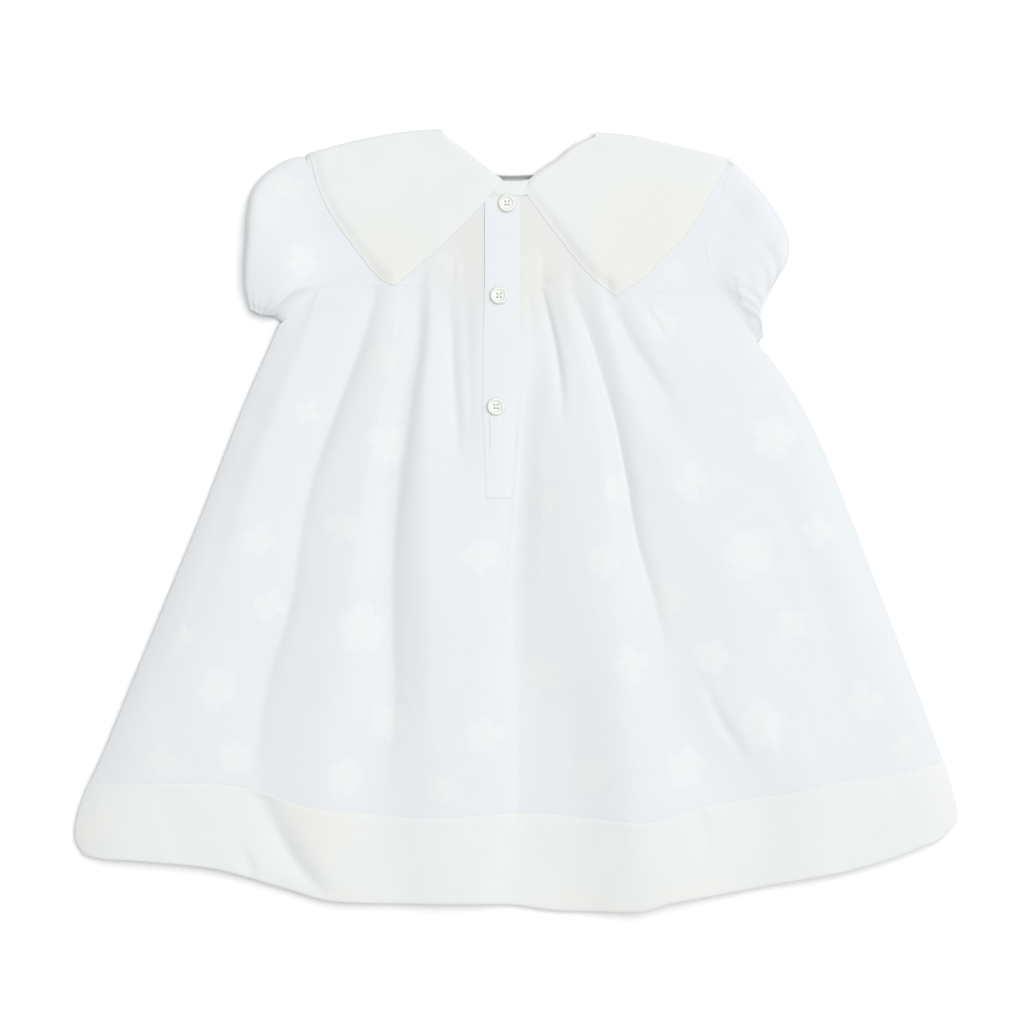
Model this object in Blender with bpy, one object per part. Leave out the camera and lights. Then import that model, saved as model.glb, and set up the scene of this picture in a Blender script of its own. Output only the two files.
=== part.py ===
"""Toddler dress lying on its front on a table, with its back uppermost.

Lengths are in millimetres and become metres where a mesh is made. +X runs to the right, +Y from hem
to neck and +Z up. The origin is under the middle of the dress, on the table. The front lies flat on the
table. The back lies over it and rises in folds, which run from the yoke seam down to the hem. Each
piece of cloth is a wall, drawn in plan first and then lifted to the height of the cloth at each point.
"""

import math

import bpy
import numpy as np

MM = 0.001

# Cloth and seams.
WALL = 1.2
COLLAR_WALL = 1.4
BAND_WALL = 1.6
SEAM_GAP = 0.3
LAYER_GAP = 0.5
FRONT_INSET = 0.5

# How finely a plan is drawn, how far apart slopes are measured, and the steepest one down the dress.
SLOPE_REACH = 0.4
STEEPEST_DOWN = 0.5
PLAN_SAMPLES = 61

# Layers at the shoulders: the front of the collar lies lowest, then the front yoke, then the back.
FRONT_YOKE_BASE = COLLAR_WALL + SEAM_GAP
FRONT_YOKE_TOP = FRONT_YOKE_BASE + WALL
SIDE_ROLL = 12.0
SIDE_EDGE_HEIGHT = ((-230.0, 2.9), (98.0, 2.9), (134.0, 6.0), (230.0, 6.0))
YOKE_HEIGHT = ((225.0, 4.5), (210.0, 4.6), (195.0, 5.6), (165.0, 6.8), (134.0, 7.0))

# Outline in plan, as points (x, y) that smooth curves run through.
SIDE_LEFT = (
    (-126, 134), (-136, 112), (-155, 69), (-182, 0), (-201, -46), (-220, -92), (-239, -138),
    (-249, -160), (-253.5, -178), (-252, -193),
)
SIDE_RIGHT = (
    (124, 134), (141.5, 99), (155, 81), (161.5, 68), (172, 44), (190, 0), (216, -69), (233, -115),
    (250, -157), (253.5, -171), (252, -186),
)
HEM = (
    (-254, -185), (-247, -193), (-215, -196), (-170, -201), (-135, -211), (-104, -219), (-50, -220.5),
    (-8, -221), (30, -225), (68, -225), (88, -220), (112, -216), (150, -209), (200, -199), (232, -188),
    (247, -181), (254, -173),
)
BAND_SEAM = (
    (-248, -151), (-181, -151), (-147, -155), (-124, -163), (-86, -168), (-49, -170.5), (6, -168),
    (36, -170), (73, -173), (100, -165.5), (124, -161), (160, -155.5), (184, -150), (213, -146), (248, -138),
)
SKIRT_TOP = (
    (-137, 111.5), (-124.3, 121.5), (-109, 133.5), (-60, 134.6), (-18, 134.3), (20, 132.6), (60, 131),
    (100, 130), (119, 129), (125.2, 122), (132, 111.5), (138.7, 101.5), (142.5, 97),
)

# Folds of the back skirt. Each row is one ridge or valley: where it lies (x) and how high the cloth
# stands there, at each station down the skirt, and how crisp its crease is, from 0 to 1.
STATIONS = (134, 70, -10, -90, -155, -225)
FOLDS = (
    # name, x at each station, height at each station, crispness
    ("left_slope", (-94, -114, -136, -156, -177, -193), (7.2, 10.5, 13.0, 14.0, 13.0, 11.0), 0.0),
    ("left_pleat", (-76, -98, -121, -133, -141, -114), (5.8, 4.0, 4.5, 5.5, 6.5, 7.0), 0.5),
    ("left_ridge", (-65, -72, -83, -84, -94, -83), (7.2, 8.5, 11.5, 13.0, 12.0, 10.0), 0.0),
    ("deep_valley", (-52, -59, -67, -63, -71, -69), (5.6, 3.4, 3.2, 3.6, 5.0, 6.5), 0.7),
    ("middle_ridge", (-44, -45, -37, -35, -38, -38), (7.4, 9.5, 14.0, 15.5, 14.0, 11.5), 0.0),
    ("short_gather", (-34, -33, -26, -25, -26, -26), (5.6, 5.0, 13.5, 15.5, 14.0, 11.5), 0.6),
    ("placket_left", (-18, -19, -16, -15, -15.5, -16), (7.2, 8.5, 14.0, 15.5, 14.0, 11.5), 0.0),
    ("placket_right", (2, 0.5, -3.5, -4, -2, 2), (7.0, 9.0, 14.0, 15.0, 13.0, 10.5), 0.0),
    ("crisp_pleat", (19, 27.5, 19.5, 25, 41, 47), (5.2, 4.0, 6.5, 6.0, 5.5, 5.5), 0.6),
    ("broad_valley", (24, 36, 36, 42, 56, 62), (6.4, 6.0, 6.8, 6.2, 5.8, 5.8), 0.0),
    ("right_ridge", (31, 50.5, 65, 79, 94, 104), (7.4, 10.0, 14.0, 15.5, 15.0, 12.5), 0.0),
    ("right_pleat", (41, 58.5, 74, 102, 140, 147), (5.4, 3.8, 5.5, 7.0, 7.5, 7.0), 0.8),
    ("right_rise", (50.5, 72, 106, 131, 166, 180), (7.2, 9.0, 11.0, 12.5, 11.5, 10.0), 0.0),
    ("faint_gather", (60, 91, 131, 158, 192, 197), (5.8, 6.0, 11.0, 10.0, 10.0, 8.5), 0.3),
    ("right_slope", (71, 117, 157, 199, 215, 223), (7.0, 8.5, 12.0, 13.0, 12.0, 10.0), 0.0),
)
ROLL_LEFT_HEIGHT = (6.4, 7.5, 9.0, 9.5, 9.0, 8.0)
ROLL_RIGHT_HEIGHT = (6.4, 7.5, 9.5, 10.0, 9.0, 8.0)
CREASE_SLOPE = 2.2
EDGE_STEPS = 12
COLUMNS_BETWEEN_FOLDS = (3, 3, 3, 3, 3, 3, 2, 2, 2, 3, 2, 3, 3, 3, 2, 2, 2, 3)
SKIRT_ROWS = 22
BAND_ROWS = 5

# Yoke, neck and placket.
YOKE_OPENING_X = -18.0
ARMHOLE_LEFT = (
    (-120.6, 209.0), (-112.0, 183.7), (-103.3, 163.6), (-101.0, 148.0), (-109.6, 134.9),
    (-124.0, 123.0), (-134.5, 113.8),
)
ARMHOLE_RIGHT = (
    (124.8, 205.5), (115.0, 180.8), (109.0, 158.0), (111.5, 142.0), (119.3, 130.2),
    (127.0, 120.5), (138.8, 102.8),
)
YOKE_CORNER = 4
YOKE_LOWEST = 129.0
YOKE_ROWS = 8
YOKE_SHOULDER_COLUMNS = 6
NECK_COLUMNS_LEFT = 6
NECK_COLUMNS_RIGHT = 8
SHOULDER_LEFT = ((-53.0, 218.6), (-78.5, 217.8), (-102.0, 212.4), (-120.0, 207.6))
SHOULDER_RIGHT = ((55.0, 216.3), (82.5, 213.8), (105.0, 208.6), (123.8, 204.2))
BAND_UPPER_LEFT = ((-18.3, 197.6), (-21.0, 199.3), (-33.5, 209.5), (-45.5, 220.0))
BAND_LOWER_LEFT = ((-18.3, 189.9), (-25.5, 194.5), (-38.5, 204.5), (-52.6, 218.2))
BAND_UPPER_RIGHT = (
    (-18.0, 197.4), (-10.0, 194.2), (0.0, 193.3), (9.0, 194.8), (22.5, 202.0), (33.0, 210.5),
    (48.0, 217.2),
)
BAND_LOWER_RIGHT = (
    (-18.0, 189.7), (-10.0, 186.8), (0.0, 186.0), (12.5, 187.8), (27.0, 196.0), (38.0, 205.0),
    (54.5, 215.6),
)
PLACKET_TOP = 185.6
PLACKET_END = 12.5
PLACKET_ROWS = 20
PLACKET_COLUMNS = 3
BUTTON_POSITIONS = (("top", -5.2, 181.6), ("middle", -9.8, 128.6), ("bottom", -11.5, 64.9))
BUTTON_PROFILE = ((4.2, 0.0), (5.0, 0.7), (5.0, 1.5), (4.4, 2.1), (3.7, 2.0), (3.2, 1.5))
BUTTON_DISH = 1.4
BUTTON_HOLE_RADIUS = 0.6
BUTTON_HOLE_OFFSET = 1.3
BUTTON_SIDES = 20
BUTTON_HOLES = 4
HOLE_SIDES = 8
HOLE_LOW = -1.0
HOLE_HIGH = 4.0
BUTTON_SEAT_REACH = 4.0

# Collar: each half is one leaf that starts at the middle of the back and wraps over the shoulder.
COLLAR_LEFT = {
    "neck": ((-7.5, 195.7), (-18.9, 203.8), (-31.6, 214.1), (-42.2, 221.8)),
    "outer": ((-69.5, 134.3), (-77.0, 137.8), (-87.8, 149.8), (-95.5, 160.1), (-103.8, 171.5),
              (-112.5, 188.3), (-118.2, 208.2)),
    "free": ((-7.5, 195.7), (-16.6, 184.2), (-43.6, 156.7), (-69.5, 134.3)),
    "shoulder": ((-42.2, 221.8), (-55.0, 221.2), (-78.5, 218.0), (-101.5, 212.8), (-118.2, 208.2)),
    "front_neck": ((-1.4, 196.5), (-18.0, 202.0), (-31.0, 211.5), (-42.2, 221.8)),
    "front_free": ((-1.4, 196.5), (-31.0, 171.0), (-62.0, 143.0)),
    "front_outer": ((-62.0, 143.0), (-92.0, 174.0), (-118.2, 208.2)),
}
COLLAR_RIGHT = {
    "neck": ((2.9, 191.1), (10.3, 198.4), (22.6, 206.6), (33.5, 215.4), (45.5, 220.0)),
    "outer": ((57.4, 128.0), (75.2, 140.6), (84.5, 150.5), (95.3, 161.3), (105.5, 175.1),
              (113.7, 190.5), (122.6, 204.8)),
    "free": ((2.9, 191.1), (13.2, 177.4), (25.3, 161.3), (41.3, 141.5), (57.4, 128.0)),
    "shoulder": ((45.5, 220.0), (70.0, 217.6), (82.5, 214.6), (105.0, 209.3), (122.6, 204.8)),
    "front_neck": ((1.4, 196.5), (21.0, 201.5), (33.5, 210.5), (45.5, 220.0)),
    "front_free": ((1.4, 196.5), (31.0, 171.0), (62.0, 143.0)),
    "front_outer": ((62.0, 143.0), (94.0, 174.0), (122.6, 204.8)),
}
COLLAR_FREE_LIFT = 3.2
COLLAR_LIFT_REACH = 0.6
COLLAR_NECK_DROP = 2.0
COLLAR_NECK_ROLL = 3.0
COLLAR_SHOULDER_SHARE = 0.25
COLLAR_FOLD_REACH = 3.0
COLLAR_ACROSS = (0.0, 0.02, 0.05, 0.12, 0.25, 0.4, 0.55, 0.7, 0.85, 1.0)
COLLAR_BACK_ROWS = 9
COLLAR_FOLD_ROWS = 6
COLLAR_FRONT_ROWS = 3
FRONT_NECK = (
    (-50.0, 214.5), (-33.0, 205.5), (-18.0, 199.8), (-8.0, 198.6), (9.0, 198.6), (21.0, 199.8),
    (36.0, 206.0), (53.0, 212.0),
)
FRONT_NECK_COLUMNS = 12
FRONT_YOKE_ROWS = 6
FRONT_YOKE_OVERLAP = 4.0
FRONT_YOKE_LEFT = ((-110.0, 184.0), (-101.0, 160.0), (-100.0, 130.5))
FRONT_YOKE_RIGHT = ((113.0, 182.0), (107.0, 158.0), (109.0, 125.6))

# Sleeves: a puff that runs from the armhole round to a gathered hem by the underarm.
SLEEVE_LEFT = {
    "outer": ((-120.9, 209.4), (-127.5, 208.8), (-136.0, 204.9), (-145.8, 198.0), (-151.8, 190.0),
              (-154.6, 179.7), (-155.6, 163.6), (-155.6, 129.2), (-153.6, 121.5)),
    "hem": ((-153.6, 121.5), (-145.8, 117.9), (-139.0, 117.0)),
    "inner": ((-134.8, 114.2), (-139.0, 117.0)),
    "puff": ((0.0, 0.0), (0.3, 13.0), (0.55, 18.0), (0.8, 14.0), (0.92, 8.5), (1.0, 5.5)),
    "gather": 0.5,
}
SLEEVE_RIGHT = {
    "outer": ((125.1, 205.9), (135.5, 195.8), (149.8, 177.2), (156.5, 163.0), (157.3, 153.8),
              (153.3, 143.5), (144.6, 135.5)),
    "hem": ((144.6, 135.5), (139.3, 119.0), (142.2, 105.5)),
    "inner": ((139.1, 103.2), (142.2, 105.5)),
    "puff": ((0.0, 0.0), (0.3, 13.0), (0.5, 18.0), (0.7, 14.0), (0.86, 6.0), (1.0, 7.5)),
    "gather": 1.0,
}
SLEEVE_ROWS = 12
SLEEVE_ACROSS = 12
SLEEVE_FOLD_HEIGHT = 1.6
SLEEVE_LOWEST = 3.0
SLEEVE_SHOULDER = 0.35
SLEEVE_FULLNESS = 6
SLEEVE_GATHERS = 4
SLEEVE_GATHER_AT = 0.9
SLEEVE_GATHER_WIDTH = 0.12

# Colours, linear RGB, and roughness.
VOILE = ((0.86, 0.88, 0.90), 0.85)
POPLIN = ((0.88, 0.86, 0.80), 0.75)
SHELL = ((0.80, 0.78, 0.70), 0.30)


def clear_scene():
    for obj in list(bpy.data.objects):
        bpy.data.objects.remove(obj, do_unlink=True)


def hermite(nodes, values, at, level=False):
    """Smooth curve through (node, value). With level=True it never overshoots between two values."""
    nodes = np.asarray(nodes, float)
    values = np.asarray(values, float)
    step = np.diff(nodes)
    rise = np.diff(values) / step
    slope = np.empty(len(nodes))
    slope[0] = rise[0]
    slope[-1] = rise[-1]
    slope[1:-1] = (rise[:-1] * step[1:] + rise[1:] * step[:-1]) / (step[:-1] + step[1:])
    if level:
        turning = rise[:-1] * rise[1:] <= 0
        limit = 3 * np.minimum(abs(rise[:-1]), abs(rise[1:]))
        slope[1:-1] = np.where(turning, 0.0, np.clip(slope[1:-1], -limit, limit))
    at = np.clip(at, nodes[0], nodes[-1])
    i = np.clip(np.searchsorted(nodes, at, side="right") - 1, 0, len(step) - 1)
    t = (at - nodes[i]) / step[i]
    run = step[i]
    start = values[i] * (1 + 2 * t) * (1 - t) ** 2 + slope[i] * run * t * (1 - t) ** 2
    end = values[i + 1] * t**2 * (3 - 2 * t) - slope[i + 1] * run * t**2 * (1 - t)
    return start + end


def unit(vectors):
    return vectors / np.linalg.norm(vectors, axis=-1)[..., None]


def at_height(plan, z):
    """Points of plan, with z as their third coordinate."""
    z = np.broadcast_to(z, plan.shape[:-1])
    return np.concatenate([plan, z[..., None]], axis=-1)


def curve(points, where):
    """Plan points along the smooth curve through points, at fractions `where` of its length."""
    points = np.asarray(points, float)
    along = np.concatenate([[0.0], np.cumsum(np.hypot(*np.diff(points, axis=0).T))])
    where = np.asarray(where, float) * along[-1]
    return np.stack([hermite(along, points[:, k], where) for k in range(2)], axis=-1)


def shifted(points, distance):
    """The curve through points, moved to its left by distance."""
    points = np.asarray(points, float)
    along = unit(np.gradient(points, axis=0))
    return points + distance * np.stack([-along[:, 1], along[:, 0]], axis=1)


def height_of(points, x):
    """Second value at x of a smooth line through points (x, value), which never overshoots a point."""
    points = np.asarray(points, float)
    return hermite(points[:, 0], points[:, 1], x, level=True)


def side_x(points, y):
    """x of a side edge that runs down through points, at y."""
    points = np.asarray(points, float)[::-1]
    return hermite(points[:, 1], points[:, 0], y)


def fold_nodes(y):
    """x and height of each fold line at y, from the left side edge to the right one."""
    stations = STATIONS[::-1]
    left = side_x(SIDE_LEFT, y)
    right = side_x(SIDE_RIGHT, y)
    edge = height_of(SIDE_EDGE_HEIGHT, y)
    xs = [left, left + SIDE_ROLL]
    zs = [edge, hermite(stations, ROLL_LEFT_HEIGHT[::-1], y)]
    for _, places, heights, _ in FOLDS:
        xs.append(hermite(stations, places[::-1], y))
        zs.append(hermite(stations, heights[::-1], y))
    xs += [right - SIDE_ROLL, right]
    zs += [hermite(stations, ROLL_RIGHT_HEIGHT[::-1], y), edge]
    return np.stack(xs), np.stack(zs)


def skirt_height(x, y):
    """Height of the back skirt: level on each ridge and creased, as its crispness says, in each valley."""
    x, y = np.broadcast_arrays(np.asarray(x, float), np.asarray(y, float))
    shape = x.shape
    x = x.ravel()
    xs, zs = fold_nodes(y.ravel())
    step = np.diff(xs, axis=0)
    rise = np.diff(zs, axis=0) / step
    slope = np.zeros_like(xs)
    mean = (rise[:-1] * step[1:] + rise[1:] * step[:-1]) / (step[:-1] + step[1:])
    limit = 3 * np.minimum(abs(rise[:-1]), abs(rise[1:]))
    slope[1:-1] = np.where(rise[:-1] * rise[1:] <= 0, 0.0, np.clip(mean, -limit, limit))
    before = slope.copy()
    after = slope.copy()
    crisp = np.array([0.0, 0.0] + [row[3] for row in FOLDS] + [0.0, 0.0])[:, None]
    before[1:] += crisp[1:] * (CREASE_SLOPE * rise - slope[1:])
    after[:-1] += crisp[:-1] * (CREASE_SLOPE * rise - slope[:-1])
    after[0] = CREASE_SLOPE * rise[0]
    before[-1] = CREASE_SLOPE * rise[-1]
    x = np.clip(x, xs[0], xs[-1])
    i = np.clip((xs <= x).sum(axis=0) - 1, 0, len(xs) - 2)
    at = np.arange(len(x))
    run = step[i, at]
    t = (x - xs[i, at]) / run
    start = zs[i, at] * (1 + 2 * t) * (1 - t) ** 2 + after[i, at] * run * t * (1 - t) ** 2
    end = zs[i + 1, at] * t**2 * (3 - 2 * t) - before[i + 1, at] * run * t**2 * (1 - t)
    return (start + end).reshape(shape)


def yoke_height(x, y):
    """Height of the back yoke, which sinks towards the neck and the shoulders."""
    return height_of(YOKE_HEIGHT[::-1], y) + 0 * x


def body_height(x, y):
    """Height of the back of the dress, yoke and skirt."""
    in_yoke = (y > height_of(SKIRT_TOP, x)) & (y > YOKE_LOWEST)
    return np.where(in_yoke, yoke_height(x, y), skirt_height(x, y))


def band_height(x, y):
    """Height of the back hem band, which is thicker than the skirt and stands proud of it."""
    return skirt_height(x, y) + BAND_WALL - WALL


def coons(start, end, first, last):
    """Plan grid between four edges: rows run from `start` to `end`, columns from `first` to `last`."""
    rows = len(first)
    columns = len(start)
    v = np.linspace(0, 1, rows)[:, None, None]
    u = np.linspace(0, 1, columns)[None, :, None]
    along = (1 - v) * start[None] + v * end[None]
    across = (1 - u) * first[:, None] + u * last[:, None]
    corners = (1 - u) * ((1 - v) * start[0] + v * end[0]) + u * ((1 - v) * start[-1] + v * end[-1])
    return along + across - corners


def picked(fine_plan, at):
    """Points of each row of fine_plan at the fractions `at` of the row, as (row, fraction)."""
    at = at * (fine_plan.shape[1] - 1)
    low = np.clip(np.floor(at).astype(int), 0, fine_plan.shape[1] - 2)
    row = np.arange(len(fine_plan))[:, None]
    part = (at - low)[..., None]
    return fine_plan[row, low] * (1 - part) + fine_plan[row, low + 1] * part


def lifted(plan, height, wall):
    """Outer and inner points of a wall over plan, the outer ones at height(x, y).

    The inner points lie a wall's thickness inwards, square to the cloth. Its slope down the dress is
    held to STEEPEST_DOWN, so that the step from the skirt to the yoke doesn't tip them.
    """
    x = plan[..., 0]
    y = plan[..., 1]
    z = height(x, y)
    slope_x = (height(x + SLOPE_REACH, y) - height(x - SLOPE_REACH, y)) / (2 * SLOPE_REACH)
    slope_y = (height(x, y + SLOPE_REACH) - height(x, y - SLOPE_REACH)) / (2 * SLOPE_REACH)
    slope_y = np.clip(slope_y, -STEEPEST_DOWN, STEEPEST_DOWN)
    normal = unit(np.stack([-slope_x, -slope_y, np.ones_like(z)], axis=-1))
    outer = np.stack([x, y, z], axis=-1)
    return outer, outer - wall * normal


def slab(plan, low, high):
    """Outer and inner points of a flat wall over plan, from low to high."""
    return at_height(plan, high), at_height(plan, low)


def material(name, finish):
    """Material of one colour, with the roughness of its finish."""
    colour, roughness = finish
    made = bpy.data.materials.new(name)
    made.use_nodes = True
    shader = made.node_tree.nodes["Principled BSDF"]
    shader.inputs["Base Color"].default_value = (*colour, 1.0)
    shader.inputs["Roughness"].default_value = roughness
    return made


def add_object(name, points, faces, finish):
    """Mesh object from points in millimetres, with a material of its own."""
    mesh = bpy.data.meshes.new(name)
    mesh.from_pydata((np.asarray(points) * MM).tolist(), [], faces)
    mesh.validate()
    mesh.shade_smooth()
    mesh.materials.append(material(name, finish))
    obj = bpy.data.objects.new(name, mesh)
    bpy.context.scene.collection.objects.link(obj)
    return obj


def add_wall(name, outer, inner, finish, ring=False):
    """One closed body between two grids of points, with rims; a ring's columns close on themselves."""
    rows, columns = outer.shape[:2]
    inner_start = rows * columns
    spans = columns if ring else columns - 1
    faces = []
    for r in range(rows - 1):
        for c in range(spans):
            a = r * columns + c
            b = r * columns + (c + 1) % columns
            quad = (a, b, b + columns, a + columns)
            faces.append(quad)
            faces.append(tuple(inner_start + k for k in reversed(quad)))
    rim = [((0, c), (0, (c + 1) % columns)) for c in range(spans)]
    rim += [((rows - 1, (c + 1) % columns), (rows - 1, c)) for c in range(spans)]
    if not ring:
        rim += [((r + 1, 0), (r, 0)) for r in range(rows - 1)]
        rim += [((r, columns - 1), (r + 1, columns - 1)) for r in range(rows - 1)]
    for start, end in rim:
        a = start[0] * columns + start[1]
        b = end[0] * columns + end[1]
        faces.append((b, a, inner_start + a, inner_start + b))
    points = np.concatenate([outer.reshape(-1, 3), inner.reshape(-1, 3)])
    solid = add_object(name, points, faces, finish)
    if signed_volume(points, faces) < 0:
        solid.data.flip_normals()
    return solid


def signed_volume(points, faces):
    """Six times the volume within quad faces, negative if they face inwards."""
    corners = np.array([points[list(face)] for face in faces])
    first = np.einsum("ij,ij->i", corners[:, 0], np.cross(corners[:, 1], corners[:, 2]))
    second = np.einsum("ij,ij->i", corners[:, 0], np.cross(corners[:, 2], corners[:, 3]))
    return (first + second).sum()


def column_x(u, y):
    """x at y of the skirt's column u, which counts fold lines from the left side edge."""
    xs, _ = fold_nodes(y)
    i = np.clip(np.floor(u).astype(int), 0, len(xs) - 2)
    at = np.arange(len(u))
    return xs[i, at] + (u - i) * (xs[i + 1, at] - xs[i, at])


def edge_y(u, edge, guess):
    """y where each column u crosses an edge of the skirt."""
    y = np.full(len(u), float(guess))
    for _ in range(EDGE_STEPS):
        y = height_of(edge, column_x(u, y))
    return y


def skirt_columns():
    """Column numbers of the skirt, with the whole numbers on fold lines."""
    parts = [i + np.arange(n) / n for i, n in enumerate(COLUMNS_BETWEEN_FOLDS)]
    return np.concatenate(parts + [[len(COLUMNS_BETWEEN_FOLDS)]])


def skirt_plan(upper, upper_shift, lower, lower_shift, rows):
    """Plan grid of a skirt piece: its columns follow the folds from its upper edge to its lower one."""
    u = skirt_columns()
    top = edge_y(u, upper, upper[0][1]) + upper_shift
    bottom = edge_y(u, lower, lower[0][1]) + lower_shift
    grid = []
    for v in np.linspace(0, 1, rows + 1):
        y = top + (bottom - top) * v
        grid.append(np.stack([column_x(u, y), y], axis=-1))
    return np.array(grid)


def inset_sides(plan, distance):
    """The plan with its left and right edges moved inwards by distance."""
    inside = plan.copy()
    inside[:, 0, 0] += distance
    inside[:, -1, 0] -= distance
    return inside


def build_skirts():
    """Back and front skirts, each with its hem band; the front lies flat on the table."""
    half = SEAM_GAP / 2
    back = skirt_plan(SKIRT_TOP, -half, BAND_SEAM, half, SKIRT_ROWS)
    add_wall("back_skirt", *lifted(back, skirt_height, WALL), VOILE)
    back_band = skirt_plan(BAND_SEAM, -half, HEM, 0.0, BAND_ROWS)
    add_wall("back_hem_band", *lifted(back_band, band_height, BAND_WALL), POPLIN)
    front = skirt_plan(SKIRT_TOP, -FRONT_INSET, BAND_SEAM, half, 1)
    add_wall("front_skirt", *slab(inset_sides(front, FRONT_INSET), 0.0, WALL), VOILE)
    front_band = skirt_plan(BAND_SEAM, -half, HEM, FRONT_INSET, 1)
    add_wall("front_hem_band", *slab(inset_sides(front_band, FRONT_INSET), 0.0, WALL), POPLIN)


def yoke_half_plan(neck, shoulder, armhole, opening_x, gap):
    """Plan grid of half a yoke, from its middle edge out to the armhole."""
    shoulder = curve(shoulder, np.linspace(0, 1, YOKE_SHOULDER_COLUMNS))
    top = np.concatenate([neck, shoulder])
    length = np.linalg.norm(np.diff(armhole, axis=0), axis=1)
    corner = length[:YOKE_CORNER].sum() / length.sum()
    side = curve(armhole, np.linspace(0, corner, YOKE_ROWS + 1))
    side[0] = top[-1]
    bottom_x = np.linspace(opening_x, side[-1, 0], len(top))
    bottom = np.stack([bottom_x, height_of(SKIRT_TOP, bottom_x) + gap], axis=-1)
    side[-1] = bottom[-1]
    middle = np.linspace(top[0], bottom[0], YOKE_ROWS + 1)
    return coons(top, bottom, middle, side)


def build_yokes():
    """Halves of the back yoke, on either side of the opening."""
    half = SEAM_GAP / 2
    neck = shifted(curve(BAND_LOWER_LEFT, np.linspace(0, 1, NECK_COLUMNS_LEFT + 1)), SEAM_GAP)
    left = yoke_half_plan(
        neck, SHOULDER_LEFT, shifted(ARMHOLE_LEFT, half), YOKE_OPENING_X - SEAM_GAP, half,
    )
    add_wall("back_yoke_left", *lifted(left, yoke_height, WALL), VOILE)
    neck = shifted(curve(BAND_LOWER_RIGHT, np.linspace(0, 1, NECK_COLUMNS_RIGHT + 1)), -SEAM_GAP)
    right = yoke_half_plan(
        neck, SHOULDER_RIGHT, shifted(ARMHOLE_RIGHT, -half), YOKE_OPENING_X, half,
    )
    add_wall("back_yoke_right", *lifted(right, yoke_height, WALL), VOILE)


def build_front_yoke():
    """The hidden front yoke: flat, over the front of the collar and under the back."""
    neck = curve(FRONT_NECK, np.linspace(0, 1, FRONT_NECK_COLUMNS + 1))
    left = np.array(SHOULDER_LEFT[::-1]) - (0, FRONT_INSET)
    right = np.array(SHOULDER_RIGHT) - (0, FRONT_INSET)
    top = np.concatenate([left[:-1], neck, right[1:]])
    bottom_x = np.linspace(FRONT_YOKE_LEFT[-1][0], FRONT_YOKE_RIGHT[-1][0], len(top))
    bottom = np.stack([bottom_x, height_of(SKIRT_TOP, bottom_x) - FRONT_YOKE_OVERLAP], axis=-1)
    where = np.linspace(0, 1, FRONT_YOKE_ROWS + 1)
    side_left = curve([top[0], *FRONT_YOKE_LEFT[:-1], bottom[0]], where)
    side_right = curve([top[-1], *FRONT_YOKE_RIGHT[:-1], bottom[-1]], where)
    plan = coons(top, bottom, side_left, side_right)
    add_wall("front_yoke", *slab(plan, FRONT_YOKE_BASE, FRONT_YOKE_TOP), VOILE)


def build_neckbands():
    """Stand of the collar along the back neck, in two parts that meet beside the opening."""
    for name, upper, lower, columns in (
        ("neckband_left", BAND_UPPER_LEFT, BAND_LOWER_LEFT, NECK_COLUMNS_LEFT),
        ("neckband_right", BAND_UPPER_RIGHT, BAND_LOWER_RIGHT, NECK_COLUMNS_RIGHT),
    ):
        where = np.linspace(0, 1, columns + 1)
        plan = np.stack([curve(upper, where), curve(lower, where)])
        add_wall(name, *lifted(plan, yoke_height, WALL), POPLIN)


def placket_height(x, y):
    """Height of the placket's face, which lies on the back."""
    return body_height(x, y) + LAYER_GAP + WALL


def build_placket():
    """Strip that laps over the opening at the middle of the back, on the yoke and on the skirt."""
    y = np.linspace(PLACKET_TOP, PLACKET_END, PLACKET_ROWS + 1)
    xs, _ = fold_nodes(np.minimum(y, STATIONS[0]))
    names = ["left_side", "left_roll"] + [row[0] for row in FOLDS]
    left = xs[names.index("placket_left")]
    right = xs[names.index("placket_right")]
    across = np.linspace(0, 1, PLACKET_COLUMNS + 1)
    x = left[:, None] + (right - left)[:, None] * across
    plan = np.stack([x, np.broadcast_to(y[:, None], x.shape)], axis=-1)
    add_wall("placket", *lifted(plan, placket_height, WALL), VOILE)


def turned_button(name):
    """Round button: a profile of (radius, height) turned about its axis, with a dish in its face."""
    angles = np.linspace(0, 2 * math.pi, BUTTON_SIDES, endpoint=False)
    rings = [[(r * math.cos(a), r * math.sin(a), z) for a in angles] for r, z in BUTTON_PROFILE]
    points = [point for ring in rings for point in ring]
    points += [(0.0, 0.0, 0.0), (0.0, 0.0, BUTTON_DISH)]
    bottom, top = len(points) - 2, len(points) - 1
    last = (len(rings) - 1) * BUTTON_SIDES
    faces = []
    for k in range(BUTTON_SIDES):
        nxt = (k + 1) % BUTTON_SIDES
        faces.append((bottom, nxt, k))
        faces.append((top, last + k, last + nxt))
        for ring in range(len(rings) - 1):
            low = ring * BUTTON_SIDES
            faces.append((low + k, low + nxt, low + BUTTON_SIDES + nxt, low + BUTTON_SIDES + k))
    return add_object(name, points, faces, SHELL)


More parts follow.
